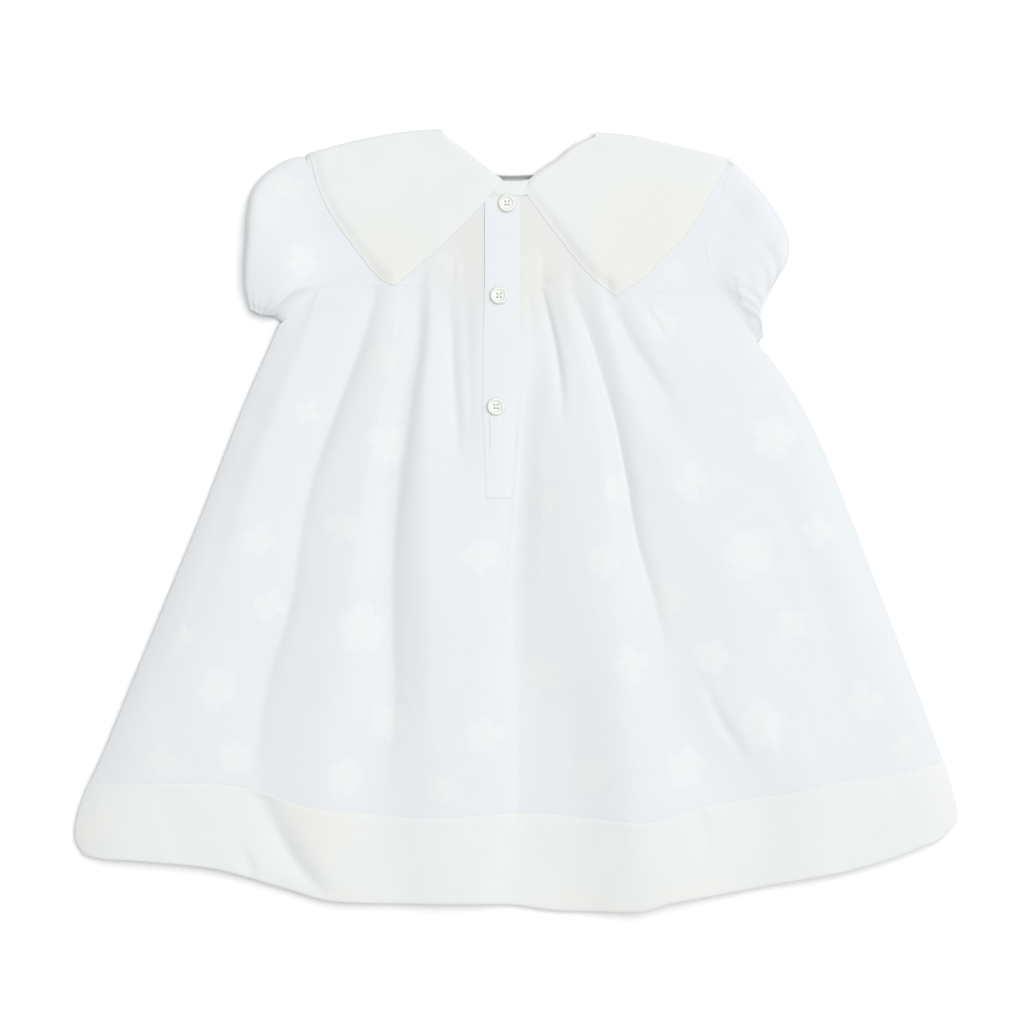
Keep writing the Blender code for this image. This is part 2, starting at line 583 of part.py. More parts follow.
def hole_cutter(name):
    """Pins that cut a button's thread holes."""
    points = []
    faces = []
    for turn in range(BUTTON_HOLES):
        out = math.pi / BUTTON_HOLES + turn * 2 * math.pi / BUTTON_HOLES
        centre_x = BUTTON_HOLE_OFFSET * math.cos(out)
        centre_y = BUTTON_HOLE_OFFSET * math.sin(out)
        first = len(points)
        for z in (HOLE_LOW, HOLE_HIGH):
            for k in range(HOLE_SIDES):
                angle = 2 * math.pi * k / HOLE_SIDES
                x = centre_x + BUTTON_HOLE_RADIUS * math.cos(angle)
                y = centre_y + BUTTON_HOLE_RADIUS * math.sin(angle)
                points.append((x, y, z))
        faces.append(tuple(first + k for k in reversed(range(HOLE_SIDES))))
        faces.append(tuple(first + HOLE_SIDES + k for k in range(HOLE_SIDES)))
        for k in range(HOLE_SIDES):
            nxt = (k + 1) % HOLE_SIDES
            faces.append((first + k, first + nxt, first + HOLE_SIDES + nxt, first + HOLE_SIDES + k))
    cutter = add_object(name, points, faces, SHELL)
    cutter.hide_render = True
    cutter.display_type = "WIRE"
    return cutter


def build_buttons():
    """Three four-hole buttons, each tilted to lie on the placket."""
    reach = BUTTON_SEAT_REACH
    for label, x, y in BUTTON_POSITIONS:
        left, right = placket_height(np.array([x - reach, x + reach]), y)
        low, high = placket_height(x, np.array([y - reach, y + reach]))
        tilt_x = math.atan2(high - low, 2 * reach)
        tilt_y = -math.atan2(right - left, 2 * reach)
        seat = placket_height(x, y) + SEAM_GAP
        button = turned_button(f"button_{label}")
        cutter = hole_cutter(f"holes_{label}")
        for obj in (button, cutter):
            obj.location = (x * MM, y * MM, seat * MM)
            obj.rotation_euler = (tilt_x, tilt_y, 0.0)
        cut = button.modifiers.new("holes", "BOOLEAN")
        cut.operation = "DIFFERENCE"
        cut.object = cutter


def collar_back(edges):
    """Outer and inner points of the leaf on the back.

    It lies on the yoke. Its free edges lift off it, and its neck edge rolls down to the neck.
    """
    rows = np.linspace(0, 1, COLLAR_BACK_ROWS + 1)
    fine = np.linspace(0, 1, PLAN_SAMPLES)
    plan = coons(
        curve(edges["free"], fine), curve(edges["shoulder"], fine),
        curve(edges["neck"], rows), curve(edges["outer"], rows),
    )
    plan = picked(plan, np.array(COLLAR_ACROSS)[None])
    row = rows[:, None]
    from_neck = np.linalg.norm(plan - plan[:, :1], axis=-1)
    lift = COLLAR_FREE_LIFT * np.clip(1 - row / COLLAR_LIFT_REACH, 0, 1) ** 2
    drop = COLLAR_NECK_DROP * np.clip(1 - from_neck / COLLAR_NECK_ROLL, 0, 1) ** 2
    drop *= np.clip((1 - row) / COLLAR_SHOULDER_SHARE, 0, 1)
    top = yoke_height(plan[..., 0], plan[..., 1]) + SEAM_GAP + COLLAR_WALL + lift - drop
    outer = at_height(plan, top)
    normal = unit(np.cross(np.gradient(outer, axis=1), np.gradient(outer, axis=0)))
    normal *= np.sign(normal[..., 2:])
    inner = outer - COLLAR_WALL * normal
    inner[-1] = at_height(plan[-1], top[-1] - COLLAR_WALL)
    return outer, inner


def collar_fold(spring):
    """Outer and inner points of the half roll from the shoulder line `spring` down to the table."""
    away = np.gradient(spring[:, :2], axis=0)
    away = unit(np.stack([-away[:, 1], away[:, 0]], axis=1))
    away *= np.sign(away[:, 1:])
    middle = spring[:, 2] / 2
    outer = []
    inner = []
    for angle in np.linspace(0, math.pi, COLLAR_FOLD_ROWS + 1)[1:]:
        for roll, inset in ((outer, 0.0), (inner, COLLAR_WALL)):
            plan = spring[:, :2] + (COLLAR_FOLD_REACH - inset) * math.sin(angle) * away
            roll.append(at_height(plan, middle + (middle - inset) * math.cos(angle)))
    return outer, inner


def build_collar(name, edges):
    """Collar half: a leaf on the back, a fold over the shoulder and a flat leaf under the front."""
    back_outer, back_inner = collar_back(edges)
    fold_outer, fold_inner = collar_fold(back_outer[-1])
    rows = np.linspace(0, 1, COLLAR_FRONT_ROWS + 1)
    front = coons(
        back_outer[-1, :, :2], curve(edges["front_free"], COLLAR_ACROSS),
        curve(edges["front_neck"][::-1], rows), curve(edges["front_outer"][::-1], rows),
    )
    front_inner, front_outer = slab(front[1:], 0.0, COLLAR_WALL)
    outer = np.concatenate([back_outer, fold_outer, front_outer])
    inner = np.concatenate([back_inner, fold_inner, front_inner])
    add_wall(name, outer, inner, POPLIN)


def sleeve_plan(armhole, shape, gap):
    """Fine plan grid of a sleeve, whose rows fan round from the armhole to the hem."""
    fine = np.linspace(0, 1, PLAN_SAMPLES)
    rows = np.linspace(0, 1, SLEEVE_ROWS + 1)
    armhole = shifted(armhole, gap)
    armhole[0] = shape["outer"][0]
    armhole[-1] = shape["inner"][0]
    return coons(
        curve(armhole, fine), curve(shape["hem"], fine),
        curve(shape["outer"], rows), curve(shape["inner"], rows),
    )


def sleeve_rings(plan, shape, inset):
    """Points of the sleeve's flattened rings, `inset` inside its outside: over it and back under it."""
    across = (1 - np.cos(np.linspace(0, math.pi, SLEEVE_ACROSS + 1))) / 2
    row = np.linspace(0, 1, SLEEVE_ROWS + 1)[:, None]
    width = np.linalg.norm(np.diff(plan, axis=1), axis=-1).sum(axis=1)[:, None]
    flat = picked(plan, inset / width + across * (1 - 2 * inset / width))
    body = body_height(flat[:1, :, 0], flat[:1, :, 1])
    blend = np.clip(row / SLEEVE_SHOULDER, 0, 1)
    blend = blend**2 * (3 - 2 * blend)
    gather = shape["gather"] * np.exp(-(((row - SLEEVE_GATHER_AT) / SLEEVE_GATHER_WIDTH) ** 2))
    top = (1 - blend) * body + blend * height_of(shape["puff"], row)
    top = np.maximum(top + gather * np.cos(2 * math.pi * SLEEVE_GATHERS * across), SLEEVE_LOWEST)
    full = (1 - abs(1 - 2 * across) ** SLEEVE_FULLNESS) ** 0.5
    over = at_height(flat, SLEEVE_FOLD_HEIGHT + (top - inset - SLEEVE_FOLD_HEIGHT) * full)
    under = at_height(flat, SLEEVE_FOLD_HEIGHT - (SLEEVE_FOLD_HEIGHT - inset) * full)
    return np.concatenate([over, under[:, -2:0:-1]], axis=1)


def build_sleeve(name, armhole, shape, gap):
    """Puff sleeve: a flattened tube that lies on the table, gathered at its hem."""
    plan = sleeve_plan(armhole, shape, gap)
    add_wall(name, sleeve_rings(plan, shape, 0.0), sleeve_rings(plan, shape, WALL), VOILE, ring=True)


def main():
    clear_scene()
    build_skirts()
    build_front_yoke()
    build_yokes()
    build_neckbands()
    build_placket()
    build_buttons()
    build_collar("collar_left", COLLAR_LEFT)
    build_collar("collar_right", COLLAR_RIGHT)
    build_sleeve("sleeve_left", ARMHOLE_LEFT, SLEEVE_LEFT, -SEAM_GAP / 2)
    build_sleeve("sleeve_right", ARMHOLE_RIGHT, SLEEVE_RIGHT, SEAM_GAP / 2)


main()
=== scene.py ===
"""Looks of a toddler dress that lies on its front on a table, with its back uppermost.

Lengths are in millimetres and become metres where a mesh is made. +X runs to the right, +Y from hem
to neck and +Z up. Each piece of cloth is a thin closed sheet. Its form is a height worked out over
a plan grid, and on the skirt the grid's columns follow the folds.
"""

import math

import bpy
import numpy as np
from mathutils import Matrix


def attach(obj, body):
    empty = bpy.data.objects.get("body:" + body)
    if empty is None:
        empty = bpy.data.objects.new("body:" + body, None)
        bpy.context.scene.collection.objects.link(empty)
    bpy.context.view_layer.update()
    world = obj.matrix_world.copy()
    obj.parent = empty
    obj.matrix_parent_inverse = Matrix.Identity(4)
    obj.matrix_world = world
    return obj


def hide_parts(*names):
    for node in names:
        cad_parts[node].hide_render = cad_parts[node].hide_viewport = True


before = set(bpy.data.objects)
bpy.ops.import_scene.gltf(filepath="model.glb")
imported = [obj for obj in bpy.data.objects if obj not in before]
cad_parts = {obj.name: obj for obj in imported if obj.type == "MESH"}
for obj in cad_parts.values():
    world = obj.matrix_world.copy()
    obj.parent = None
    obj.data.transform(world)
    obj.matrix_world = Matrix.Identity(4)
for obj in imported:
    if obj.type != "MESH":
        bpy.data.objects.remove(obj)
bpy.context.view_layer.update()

MM = 0.001

# --------------------------------------------------------------------------------------------------
# The room. The dress lies on a wide pale table under even light from all round and one large soft
# lamp, high up beyond the right shoulder. The camera looks straight down on it through a long lens.

TABLE_SIZE = 6.0
TABLE_DROP = 0.0003
TABLE_COLOUR = (0.93, 0.93, 0.93)
TABLE_ROUGHNESS = 0.9
ROOM_COLOUR = (1.0, 1.0, 1.0)
ROOM_STRENGTH = 0.60
LAMP_DISTANCE = 6.0
LAMP_FROM_UPRIGHT = 22.0
LAMP_BEARING = 28.0
LAMP_SIZE = 5.0
LAMP_POWER = 272.0
VIEW_WIDTH = 0.5878
CAMERA_LENS = 100.0
CAMERA_SENSOR = 36.0
CAMERA_OVER = (-0.0023, 0.0046)
CLOTH_LEVEL = 0.006


def feed(node, **values):
    """Give a node its values. Each key names an input, with _ for a space, or a property. A socket
    among the values is linked to its input."""
    for key, value in values.items():
        name = key.replace("_", " ")
        if isinstance(value, bpy.types.NodeSocket):
            node.id_data.links.new(value, node.inputs[name])
        elif name in node.inputs:
            node.inputs[name].default_value = value
        else:
            setattr(node, key, value)


def shader_of(material):
    """The shader of a material's surface."""
    return material.node_tree.nodes["Principled BSDF"]


def flat_material(name, colour, roughness, **values):
    """Principled finish of one colour, with any other values of its shader."""
    made = bpy.data.materials.new(name)
    made.use_nodes = True
    feed(shader_of(made), Base_Color=(*colour, 1.0), Roughness=roughness, **values)
    return made


def linked(name, data):
    """Object with that data, in the scene."""
    made = bpy.data.objects.new(name, data)
    bpy.context.scene.collection.objects.link(made)
    return made


def build_table():
    """One square, centred under the dress."""
    half = TABLE_SIZE / 2
    corners = [(-half, -half), (half, -half), (half, half), (-half, half)]
    mesh = bpy.data.meshes.new("table_top")
    mesh.from_pydata([(x, y, -TABLE_DROP) for x, y in corners], [], [(0, 1, 2, 3)])
    mesh.materials.append(flat_material("table_paint", TABLE_COLOUR, TABLE_ROUGHNESS))
    linked("table_top", mesh)


def build_light():
    """An even white surround, and a square lamp that faces the dress. The lamp leans away from
    upright towards its bearing, which is counted from +X."""
    world = bpy.data.worlds.new("room")
    bpy.context.scene.world = world
    world.use_nodes = True
    feed(world.node_tree.nodes["Background"], Color=(*ROOM_COLOUR, 1.0), Strength=ROOM_STRENGTH)
    lamp = bpy.data.lights.new("lamp", "AREA")
    lamp.size = LAMP_SIZE
    lamp.energy = LAMP_POWER
    holder = linked("lamp", lamp)
    lean = math.radians(LAMP_FROM_UPRIGHT)
    bearing = math.radians(LAMP_BEARING)
    out = LAMP_DISTANCE * math.sin(lean)
    holder.location = (
        out * math.cos(bearing), out * math.sin(bearing), LAMP_DISTANCE * math.cos(lean),
    )
    aim = -holder.location
    holder.rotation_euler = aim.to_track_quat("-Z", "Y").to_euler()
    bpy.context.scene.view_settings.view_transform = "Standard"


def build_camera():
    """A camera whose distance makes the cloth's level VIEW_WIDTH across in the picture."""
    lens = bpy.data.cameras.new("camera")
    lens.lens = CAMERA_LENS
    lens.sensor_width = CAMERA_SENSOR
    camera = linked("camera", lens)
    distance = VIEW_WIDTH * CAMERA_LENS / CAMERA_SENSOR
    camera.location = (*CAMERA_OVER, CLOTH_LEVEL + distance)
    bpy.context.scene.camera = camera


build_table()
build_light()
build_camera()

# --------------------------------------------------------------------------------------------------
# Front skirt and front hem band. The hidden front of the dress: one panel of voile with a band of
# poplin sewn along its lower edge. They lie flat on the table, creased a little, under the back.

SIDE_LEFT = (
    (-126, 134), (-136, 112), (-155, 69), (-182, 0), (-201, -46), (-220, -92), (-239, -138),
    (-249, -160), (-253.5, -178), (-252, -193),
)
SIDE_RIGHT = (
    (124, 134), (141.5, 99), (155, 81), (163, 68), (175, 44), (193, 0), (219.5, -69), (237, -115),
    (251.5, -157), (254.0, -171), (252, -186),
)
SKIRT_TOP = (
    (-137, 111.5), (-124.3, 121.5), (-109, 133.5), (-60, 134.6), (-18, 134.3), (20, 132.6),
    (60, 131), (100, 130), (119, 129), (125.2, 122), (132, 111.5), (138.7, 101.5), (142.5, 97),
)
BAND_SEAM = (
    (-248, -151), (-181, -151), (-147, -155), (-124, -163), (-86, -168), (-49, -170.5), (6, -168),
    (36, -170), (73, -173), (100, -165.5), (124, -161), (160, -155.5), (184, -150), (213, -146),
    (248, -138),
)
HEM = (
    (-254, -185), (-247, -193), (-215, -196), (-170, -201), (-135, -211), (-104, -219),
    (-50, -220.5), (-8, -221), (30, -225), (68, -225), (88, -220), (112, -216), (150, -209),
    (200, -199), (232, -188), (247, -181), (254, -173),
)
WIDENS_FROM = 134.0
VOILE_WALL = 0.45
POPLIN_WALL = 0.7
FRONT_GAP = 0.1
FRONT_LEVEL = 0.75
FRONT_CREASE = 0.22
FRONT_CREASE_PITCH = 34.0
FRONT_CREASE_DRIFT = 0.02
FRONT_FAN = 420.0
FRONT_CELL = 4.0
HEM_STEP = 0.4
SEAM_HALF = 0.15
EDGE_STEPS = 12
# The rim between a sheet's two sides stands this share of the wall out past them.
RIM_REACH = 0.4


def node_slopes(step, rise, level):
    """Slope at each node: that of the parabola through it and its neighbours, and the chord's at
    both ends. With level=True it is 0 where the values turn, and too low to overshoot."""
    slope = (rise[:-1] * step[1:] + rise[1:] * step[:-1]) / (step[:-1] + step[1:])
    if level:
        limit = 3 * np.minimum(abs(rise[:-1]), abs(rise[1:]))
        slope = np.where(rise[:-1] * rise[1:] <= 0, 0.0, np.clip(slope, -limit, limit))
    return np.concatenate([rise[:1], slope, rise[-1:]])


def cubic(t, run, start, start_slope, end, end_slope):
    """Cubic between two values with those slopes, over t from 0 to 1, which spans `run`."""
    first = start * (1 + 2 * t) * (1 - t) ** 2 + start_slope * run * t * (1 - t) ** 2
    return first + (end * t**2 * (3 - 2 * t) - end_slope * run * t**2 * (1 - t))


def hermite(nodes, values, at, level=False):
    """Smooth curve through (node, value) pairs, in cubic spans. With level=True it never overshoots
    between two values."""
    nodes = np.asarray(nodes, float)
    values = np.asarray(values, float)
    step = np.diff(nodes)
    slope = node_slopes(step, np.diff(values) / step, level)
    at = np.clip(at, nodes[0], nodes[-1])
    i = np.clip(np.searchsorted(nodes, at, side="right") - 1, 0, len(step) - 1)
    t = (at - nodes[i]) / step[i]
    return cubic(t, step[i], values[i], slope[i], values[i + 1], slope[i + 1])


def along_x(points, x):
    """Second value at x of the smooth line through points (x, value)."""
    points = np.asarray(points, float)
    return hermite(points[:, 0], points[:, 1], x, level=True)


def side_x(points, y):
    """x at y of a side edge that runs down through points (x, y)."""
    points = np.asarray(points, float)[::-1]
    return hermite(points[:, 1], points[:, 0], y)


def unit(vectors):
    """The same directions, each of length 1."""
    return vectors / np.linalg.norm(vectors, axis=-1)[..., None]


def walked(steps):
    """Running total of steps, from 0."""
    return np.concatenate([[0.0], np.cumsum(steps)])


def at_height(plan, z):
    """Points of a plan at that z."""
    return np.concatenate([plan, np.broadcast_to(z, plan.shape[:-1])[..., None]], axis=-1)


def raised(plan, height, rise=0.0):
    """Points of a plan at height(x, y), and a rise above it."""
    return at_height(plan, height(plan[..., 0], plan[..., 1]) + rise)


def sheet_normals(face, upper_rows=None):
    """Unit normals of a grid of points: the cross product of its two directions, turned upwards on
    the whole, or on the whole of its first rows."""
    normal = unit(np.cross(np.gradient(face, axis=1), np.gradient(face, axis=0)))
    return normal if normal[:upper_rows, :, 2].sum() > 0 else -normal


def put_mesh(name, points, quads, finish, uv=None):
    """Object with that mesh, in millimetres, smooth, with one material and a UV map per corner."""
    mesh = bpy.data.meshes.new(name)
    mesh.from_pydata((points * MM).tolist(), [], quads.tolist())
    mesh.shade_smooth()
    mesh.materials.append(finish)
    if uv is not None:
        layer = mesh.uv_layers.new(name="cloth")
        corners = np.empty(len(mesh.loops), np.int32)
        mesh.loops.foreach_get("vertex_index", corners)
        layer.data.foreach_set("uv", uv[corners].astype(np.float32).ravel())
    return linked(name, mesh)


def dress(piece, node=None):
    """Fix a piece to the one body and, if it is a cut piece or a button, put it in place of its
    CAD node, which is hidden."""
    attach(piece, "root")
    if node:
        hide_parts(node)


def cloth_sheet(node, slot, face, wall, finish, ring=False, normals=None):
    """Closed thin sheet in place of a CAD node. `face` is its outer side, a grid of points. The
    inner side lies a wall's thickness in, against the normals, and a rounded rim with one row at
    mid thickness joins the two. A ring's columns close on themselves. UV is the cloth's own length
    and width in metres."""
    normals = sheet_normals(face) if normals is None else normals
    rows, columns = face.shape[:2]
    n = rows * columns
    grid = np.arange(n).reshape(rows, columns)
    if ring:
        grid = np.concatenate([grid, grid[:, :1]], axis=1)
        edges = [grid[0], grid[-1][::-1]]
    else:
        edges = [
            np.concatenate([grid[0], grid[1:, -1], grid[-1, -2::-1], grid[-2:0:-1, 0], grid[0, :1]])
        ]
    a, b, c, d = grid[:-1, :-1], grid[:-1, 1:], grid[1:, 1:], grid[1:, :-1]
    front = np.stack([a, b, c, d], axis=-1).reshape(-1, 4)
    flat_face = face.reshape(-1, 3)
    flat_back = (face - wall * normals).reshape(-1, 3)
    points = [flat_face, flat_back]
    uv_of = [np.arange(n), np.arange(n)]
    quads = [front, front[:, ::-1] + n]
    used = 2 * n
    for loop in edges:
        loop = loop[:-1]
        middle = (flat_face[loop] + flat_back[loop]) / 2
        if ring:
            end, beside = (0, 1) if loop[0] < columns else (-1, -2)
            step_in = face[beside].mean(axis=0) - face[end].mean(axis=0)
            outwards = -unit(np.broadcast_to(step_in, middle.shape))
        else:
            ahead = np.roll(flat_face[loop], -1, axis=0) - np.roll(flat_face[loop], 1, axis=0)
            outwards = np.cross(unit(ahead + 1e-9), unit(flat_face[loop] - flat_back[loop]))
            size = np.linalg.norm(outwards, axis=1, keepdims=True)
            outwards = outwards / np.maximum(size, 1e-6)
            if ((middle - flat_face[grid[rows // 2, columns // 2]]) * outwards).sum() < 0:
                outwards = -outwards
        points.append(middle + outwards * wall * RIM_REACH)
        uv_of.append(loop)
        rim = used + np.arange(len(loop))
        nxt = np.roll(loop, -1)
        rim_next = np.roll(rim, -1)
        quads.append(np.stack([nxt, loop, rim, rim_next], axis=-1))
        quads.append(np.stack([rim_next, rim, loop + n, nxt + n], axis=-1))
        used += len(loop)
    points = np.concatenate(points)
    quads = np.concatenate(quads)
    down = np.linalg.norm(np.diff(face, axis=0), axis=-1).mean(axis=1)
    over = np.linalg.norm(np.diff(face, axis=1), axis=-1).mean(axis=0)
    v = -walked(down)[:, None] + 0 * face[..., 0]
    u = walked(over)[None] + 0 * face[..., 0]
    uv = (np.stack([u, v], axis=-1).reshape(-1, 2) * MM)[np.concatenate(uv_of)]
    first, *others = points[quads].swapaxes(0, 1)
    volume = sum((first * np.cross(b, c)).sum() for b, c in zip(others, others[1:]))
    if volume < 0:
        quads = quads[:, ::-1]
    made = put_mesh(f"{node}_{slot}", points, quads, finish, uv)
    dress(made, node)
    return made


def add_node(material, kind, **values):
    """New shader node in a material, with its values."""
    made = material.node_tree.nodes.new("ShaderNode" + kind)
    feed(made, **values)
    return made


def object_place(material):
    """Object coordinates, in metres."""
    return add_node(material, "TexCoord").outputs["Object"]


def noise_at(material, place, **values):
    """Noise texture read at a place."""
    return add_node(material, "TexNoise", Vector=place, **values).outputs["Fac"]


def added(material, first, second):
    """Sum of two values."""
    made = add_node(material, "Math", operation="ADD")
    for socket, value in zip(made.inputs, (first, second)):
        material.node_tree.links.new(value, socket)
    return made.outputs["Value"]


def woven_material(name, colours, weave):
    """Plain-woven cotton. Two sets of threads cross on the piece's UV, each a stretched noise, so
    that threads vary in thickness as spun ones do. Soft noise on Object coordinates varies the
    first colour towards the second, and a much broader one turns it towards the third in patches.
    The weave feeds the bump too. Returned with the colour's output."""
    colour, shade, drift = colours
    thread, depth, roughness, sheen = weave
    made = flat_material(
        name, colour, roughness, Sheen_Weight=sheen, Sheen_Roughness=0.6, Specular_IOR_Level=0.25,
    )
    uv = add_node(made, "UVMap", uv_map="cloth").outputs["UV"]
    threads = []
    for across, along in ((1.0, THREAD_STRETCH), (THREAD_STRETCH, 1.0)):
        scale = (across / thread * 1000, along / thread * 1000, 1.0)
        stretched = add_node(made, "Mapping", Vector=uv, Scale=scale).outputs["Vector"]
        threads.append(noise_at(made, stretched, Scale=1.0, Detail=2.0, Roughness=0.6))
    crossed = added(made, *threads)
    solid = object_place(made)
    broad = noise_at(made, solid, Scale=34.0, Detail=3.0, Roughness=0.55)
    spread = share_of(made, broad, 0.30, 0.62, 0.5)
    both = added(made, spread, share_of(made, crossed, 0.7, 1.25, 0.5))
    tint = mixed(made, shade, colour, both)
    patches = noise_at(
        made, solid, noise_dimensions="4D", Scale=13.0, Detail=2.0, W=PATCH_CHANCE,
    )
    tint = mixed(made, tint, drift, share_of(made, patches, 0.42, 0.66, 0.8))
    feed(shader_of(made), Base_Color=tint, Normal=bumped(made, crossed, depth * MM))
    return made, tint


def share_of(material, value, low, high, top=1.0, way="SMOOTHSTEP"):
    """0 where value is low, rising to top where it is high, smoothly or, with LINEAR, evenly."""
    return add_node(
        material, "MapRange", interpolation_type=way, Value=value, From_Min=low, From_Max=high,
        To_Max=top,
    ).outputs["Result"]


def mixed(material, first, second, share):
    """Blend of two colours, each a node's output or a colour."""
    first, second = ((*c, 1.0) if isinstance(c, tuple) else c for c in (first, second))
    mix = add_node(material, "Mix", data_type="RGBA", A=first, B=second, Factor=share)
    return mix.outputs["Result"]


def bumped(material, height, distance):
    """Normal of the surface, bumped by that height over a distance in metres."""
    bump = add_node(material, "Bump", Strength=0.5, Distance=distance, Height=height)
    return bump.outputs["Normal"]


# Paints shade round the neck on the voile and its petals, and the cream tone of the collar points.
def cream_and_shade_round(material, tint, colour, centre, inner, outer):
    """Turn the cloth towards `colour` round a place: wholly within `inner` of it, not at all beyond
    `outer`, in metres."""
    away = add_node(material, "VectorMath", operation="DISTANCE", Vector=object_place(material))
    away.inputs[1].default_value = centre
    near = share_of(material, away.outputs["Value"], outer, inner)
    feed(shader_of(material), Base_Color=mixed(material, tint, colour, near))


PATCH_CHANCE = 2.0
# How much less the noise varies along a thread than across it.
THREAD_STRETCH = 0.09
# A weave: pitch of its threads and depth of its bump in millimetres, roughness, and sheen.
VOILE_WEAVE = (0.42, 0.10, 0.85, 0.08)
POPLIN_WEAVE = (0.30, 0.06, 0.75, 0.05)
VOILE_COLOUR = (0.712, 0.735, 0.760)
VOILE_SHADE = (0.690, 0.713, 0.738)
VOILE_DRIFT = (0.700, 0.732, 0.740)
# Painted shade: the voile round the neck is painted darker and warmer, as under the collar halves.
NECK_SHADE_COLOUR = (0.694, 0.702, 0.686)
NECK_SHADE_CENTRE = (0.002, 0.164, 0.008)
NECK_SHADE_INNER = 0.026
NECK_SHADE_OUTER = 0.076
POPLIN_COLOUR = (0.724, 0.746, 0.746)
POPLIN_SHADE = (0.708, 0.730, 0.726)
POPLIN_DRIFT = (0.734, 0.738, 0.708)
voile, voile_tint = woven_material(
    "cotton_voile", (VOILE_COLOUR, VOILE_SHADE, VOILE_DRIFT), VOILE_WEAVE,
)
# Painted shade round the neck.
cream_and_shade_round(voile, voile_tint, NECK_SHADE_COLOUR, NECK_SHADE_CENTRE, NECK_SHADE_INNER, NECK_SHADE_OUTER)
poplin, _ = woven_material(
    "cotton_poplin", (POPLIN_COLOUR, POPLIN_SHADE, POPLIN_DRIFT), POPLIN_WEAVE,
)


def across_front(u, y):
    """x at y of a column of the front: a fraction u of the way between the side edges."""
    left = side_x(SIDE_LEFT, y) + FRONT_GAP
    right = side_x(SIDE_RIGHT, y) - FRONT_GAP
    return left + (right - left) * u


def front_panel(upper, upper_shift, lower, lower_shift):
    """Plan grid between the side edges, from an upper edge to a lower one, each a line over x."""
    columns = int((SIDE_RIGHT[-1][0] - SIDE_LEFT[-1][0]) / FRONT_CELL) + 1
    u = np.linspace(0, 1, columns)
    ends = []
    for line, shift in ((upper, upper_shift), (lower, lower_shift)):
        x = np.linspace(line[0][0], line[-1][0], columns)
        for _ in range(EDGE_STEPS):
            y = along_x(line, x) + shift
            x = across_front(u, y)
        ends.append(y)
    length = abs(ends[0] - ends[1]).mean()
    rows = np.linspace(0, 1, int(length / FRONT_CELL) + 2)[:, None]
    y = ends[0] * (1 - rows) + ends[1] * rows
    return np.stack([across_front(u, y), y], axis=-1)


def fanned(x, y, fan):
    """x drawn in towards the middle, the more the lower y is: over 1 + (top - y) / fan."""
    return x / (1.0 + (WIDENS_FROM - y) / fan)


def front_height(x, y):
    """Flat, with shallow creases that fan out down the skirt: a cosine across the panel whose phase
    drifts with y, so that the creases aren't parallel."""
    fan = fanned(x, y, FRONT_FAN)
    phase = 2 * math.pi * fan / FRONT_CREASE_PITCH + FRONT_CREASE_DRIFT * y
    return FRONT_LEVEL + FRONT_CREASE * np.cos(phase)


front_skirt = cloth_sheet(
    "front_skirt", "voile",
    raised(front_panel(SKIRT_TOP, -HEM_STEP, BAND_SEAM, SEAM_HALF), front_height),
    VOILE_WALL, voile,
)
front_band = cloth_sheet(
    "front_hem_band", "poplin",
    raised(front_panel(BAND_SEAM, -SEAM_HALF, HEM, HEM_STEP), front_height),
    POPLIN_WALL, poplin,
)

# --------------------------------------------------------------------------------------------------
# Back skirt. One panel of voile, gathered along its top into the yoke, which falls in long folds to
# the hem band. Each fold is a ridge or a valley whose place and height are given down the skirt.

STATIONS = (134, 105, 70, 20, -40, -100, -155, -225)
FOLDS = (
    # name, x at each station, height at each station
    ("left_slope", (-112, -120, -134, -152, -168, -184, -212, -216),
        (6.8, 7.8, 8.8, 9.9, 10.5, 10.5, 9.7, 7.6)),
    ("left_pleat", (-82, -91, -105, -122, -131, -147, -150, -134),
        (6.6, 6.6, 6.6, 7.2, 7.6, 8.0, 8.2, 6.6)),
    ("left_ridge", (-70, -68, -77, -87, -96, -106, -111, -108),
        (7.2, 8.4, 9.2, 10.8, 11.8, 12.2, 11.8, 8.8)),
    ("deep_valley", (-56, -58, -66, -75, -77, -75, -80, -66),
        (6.4, 6.2, 6.2, 6.6, 7.4, 8.4, 9.0, 7.6)),
    ("middle_ridge", (-49, -49, -52, -50, -48, -47, -43, -45),
        (7.4, 8.6, 9.8, 12.8, 13.8, 13.4, 12.4, 9.6)),
    ("short_gather", (-40, -38, -38, -32, -31, -31, -30, -32),
        (6.8, 7.0, 7.8, 12.0, 13.0, 12.8, 11.8, 9.2)),
    ("placket_left", (-18, -18.7, -19, -17.2, -17, -18, -18, -20),
        (7.2, 8.6, 9.8, 11.4, 11.6, 11.4, 10.8, 8.6)),
    ("placket_right", (2, 1.5, 0.5, -2.3, -7, -7, -7, -12),
        (7.1, 8.4, 8.6, 8.2, 8.0, 8.8, 9.0, 7.0)),
    ("crisp_pleat", (15, 14.5, 5, 1.5, -2, 1, 2, -4), (6.2, 6.8, 5.8, 5.0, 5.0, 5.4, 5.6, 4.6)),
    ("broad_valley", (20, 25, 19, 16, 17, 26, 33, 36), (6.6, 7.6, 8.4, 9.0, 9.0, 8.6, 8.2, 5.8)),
    ("right_ridge", (26, 36, 44, 50, 55, 61, 69, 78),
        (7.4, 9.2, 11.0, 13.6, 14.6, 15.2, 15.0, 11.4)),
    ("right_pleat", (34, 43, 53, 62, 76, 93, 127, 138),
        (6.4, 7.0, 8.6, 11.4, 11.6, 11.4, 9.2, 7.4)),
    ("right_rise", (46, 55, 66, 91, 122, 128, 172, 168),
        (7.2, 9.0, 10.4, 13.2, 14.2, 13.2, 12.2, 8.8)),
    ("faint_gather", (50, 61, 82, 112, 150, 152, 190, 190),
        (6.4, 7.2, 9.0, 12.4, 12.8, 12.2, 11.4, 8.2)),
    ("right_slope", (66, 77, 97, 135, 175, 178, 213, 215),
        (7.2, 8.8, 9.8, 11.4, 11.8, 11.2, 10.2, 7.4)),
)
ROLL_LEFT_HEIGHT = (6.2, 6.4, 6.8, 7.7, 8.1, 8.0, 7.3, 5.6)
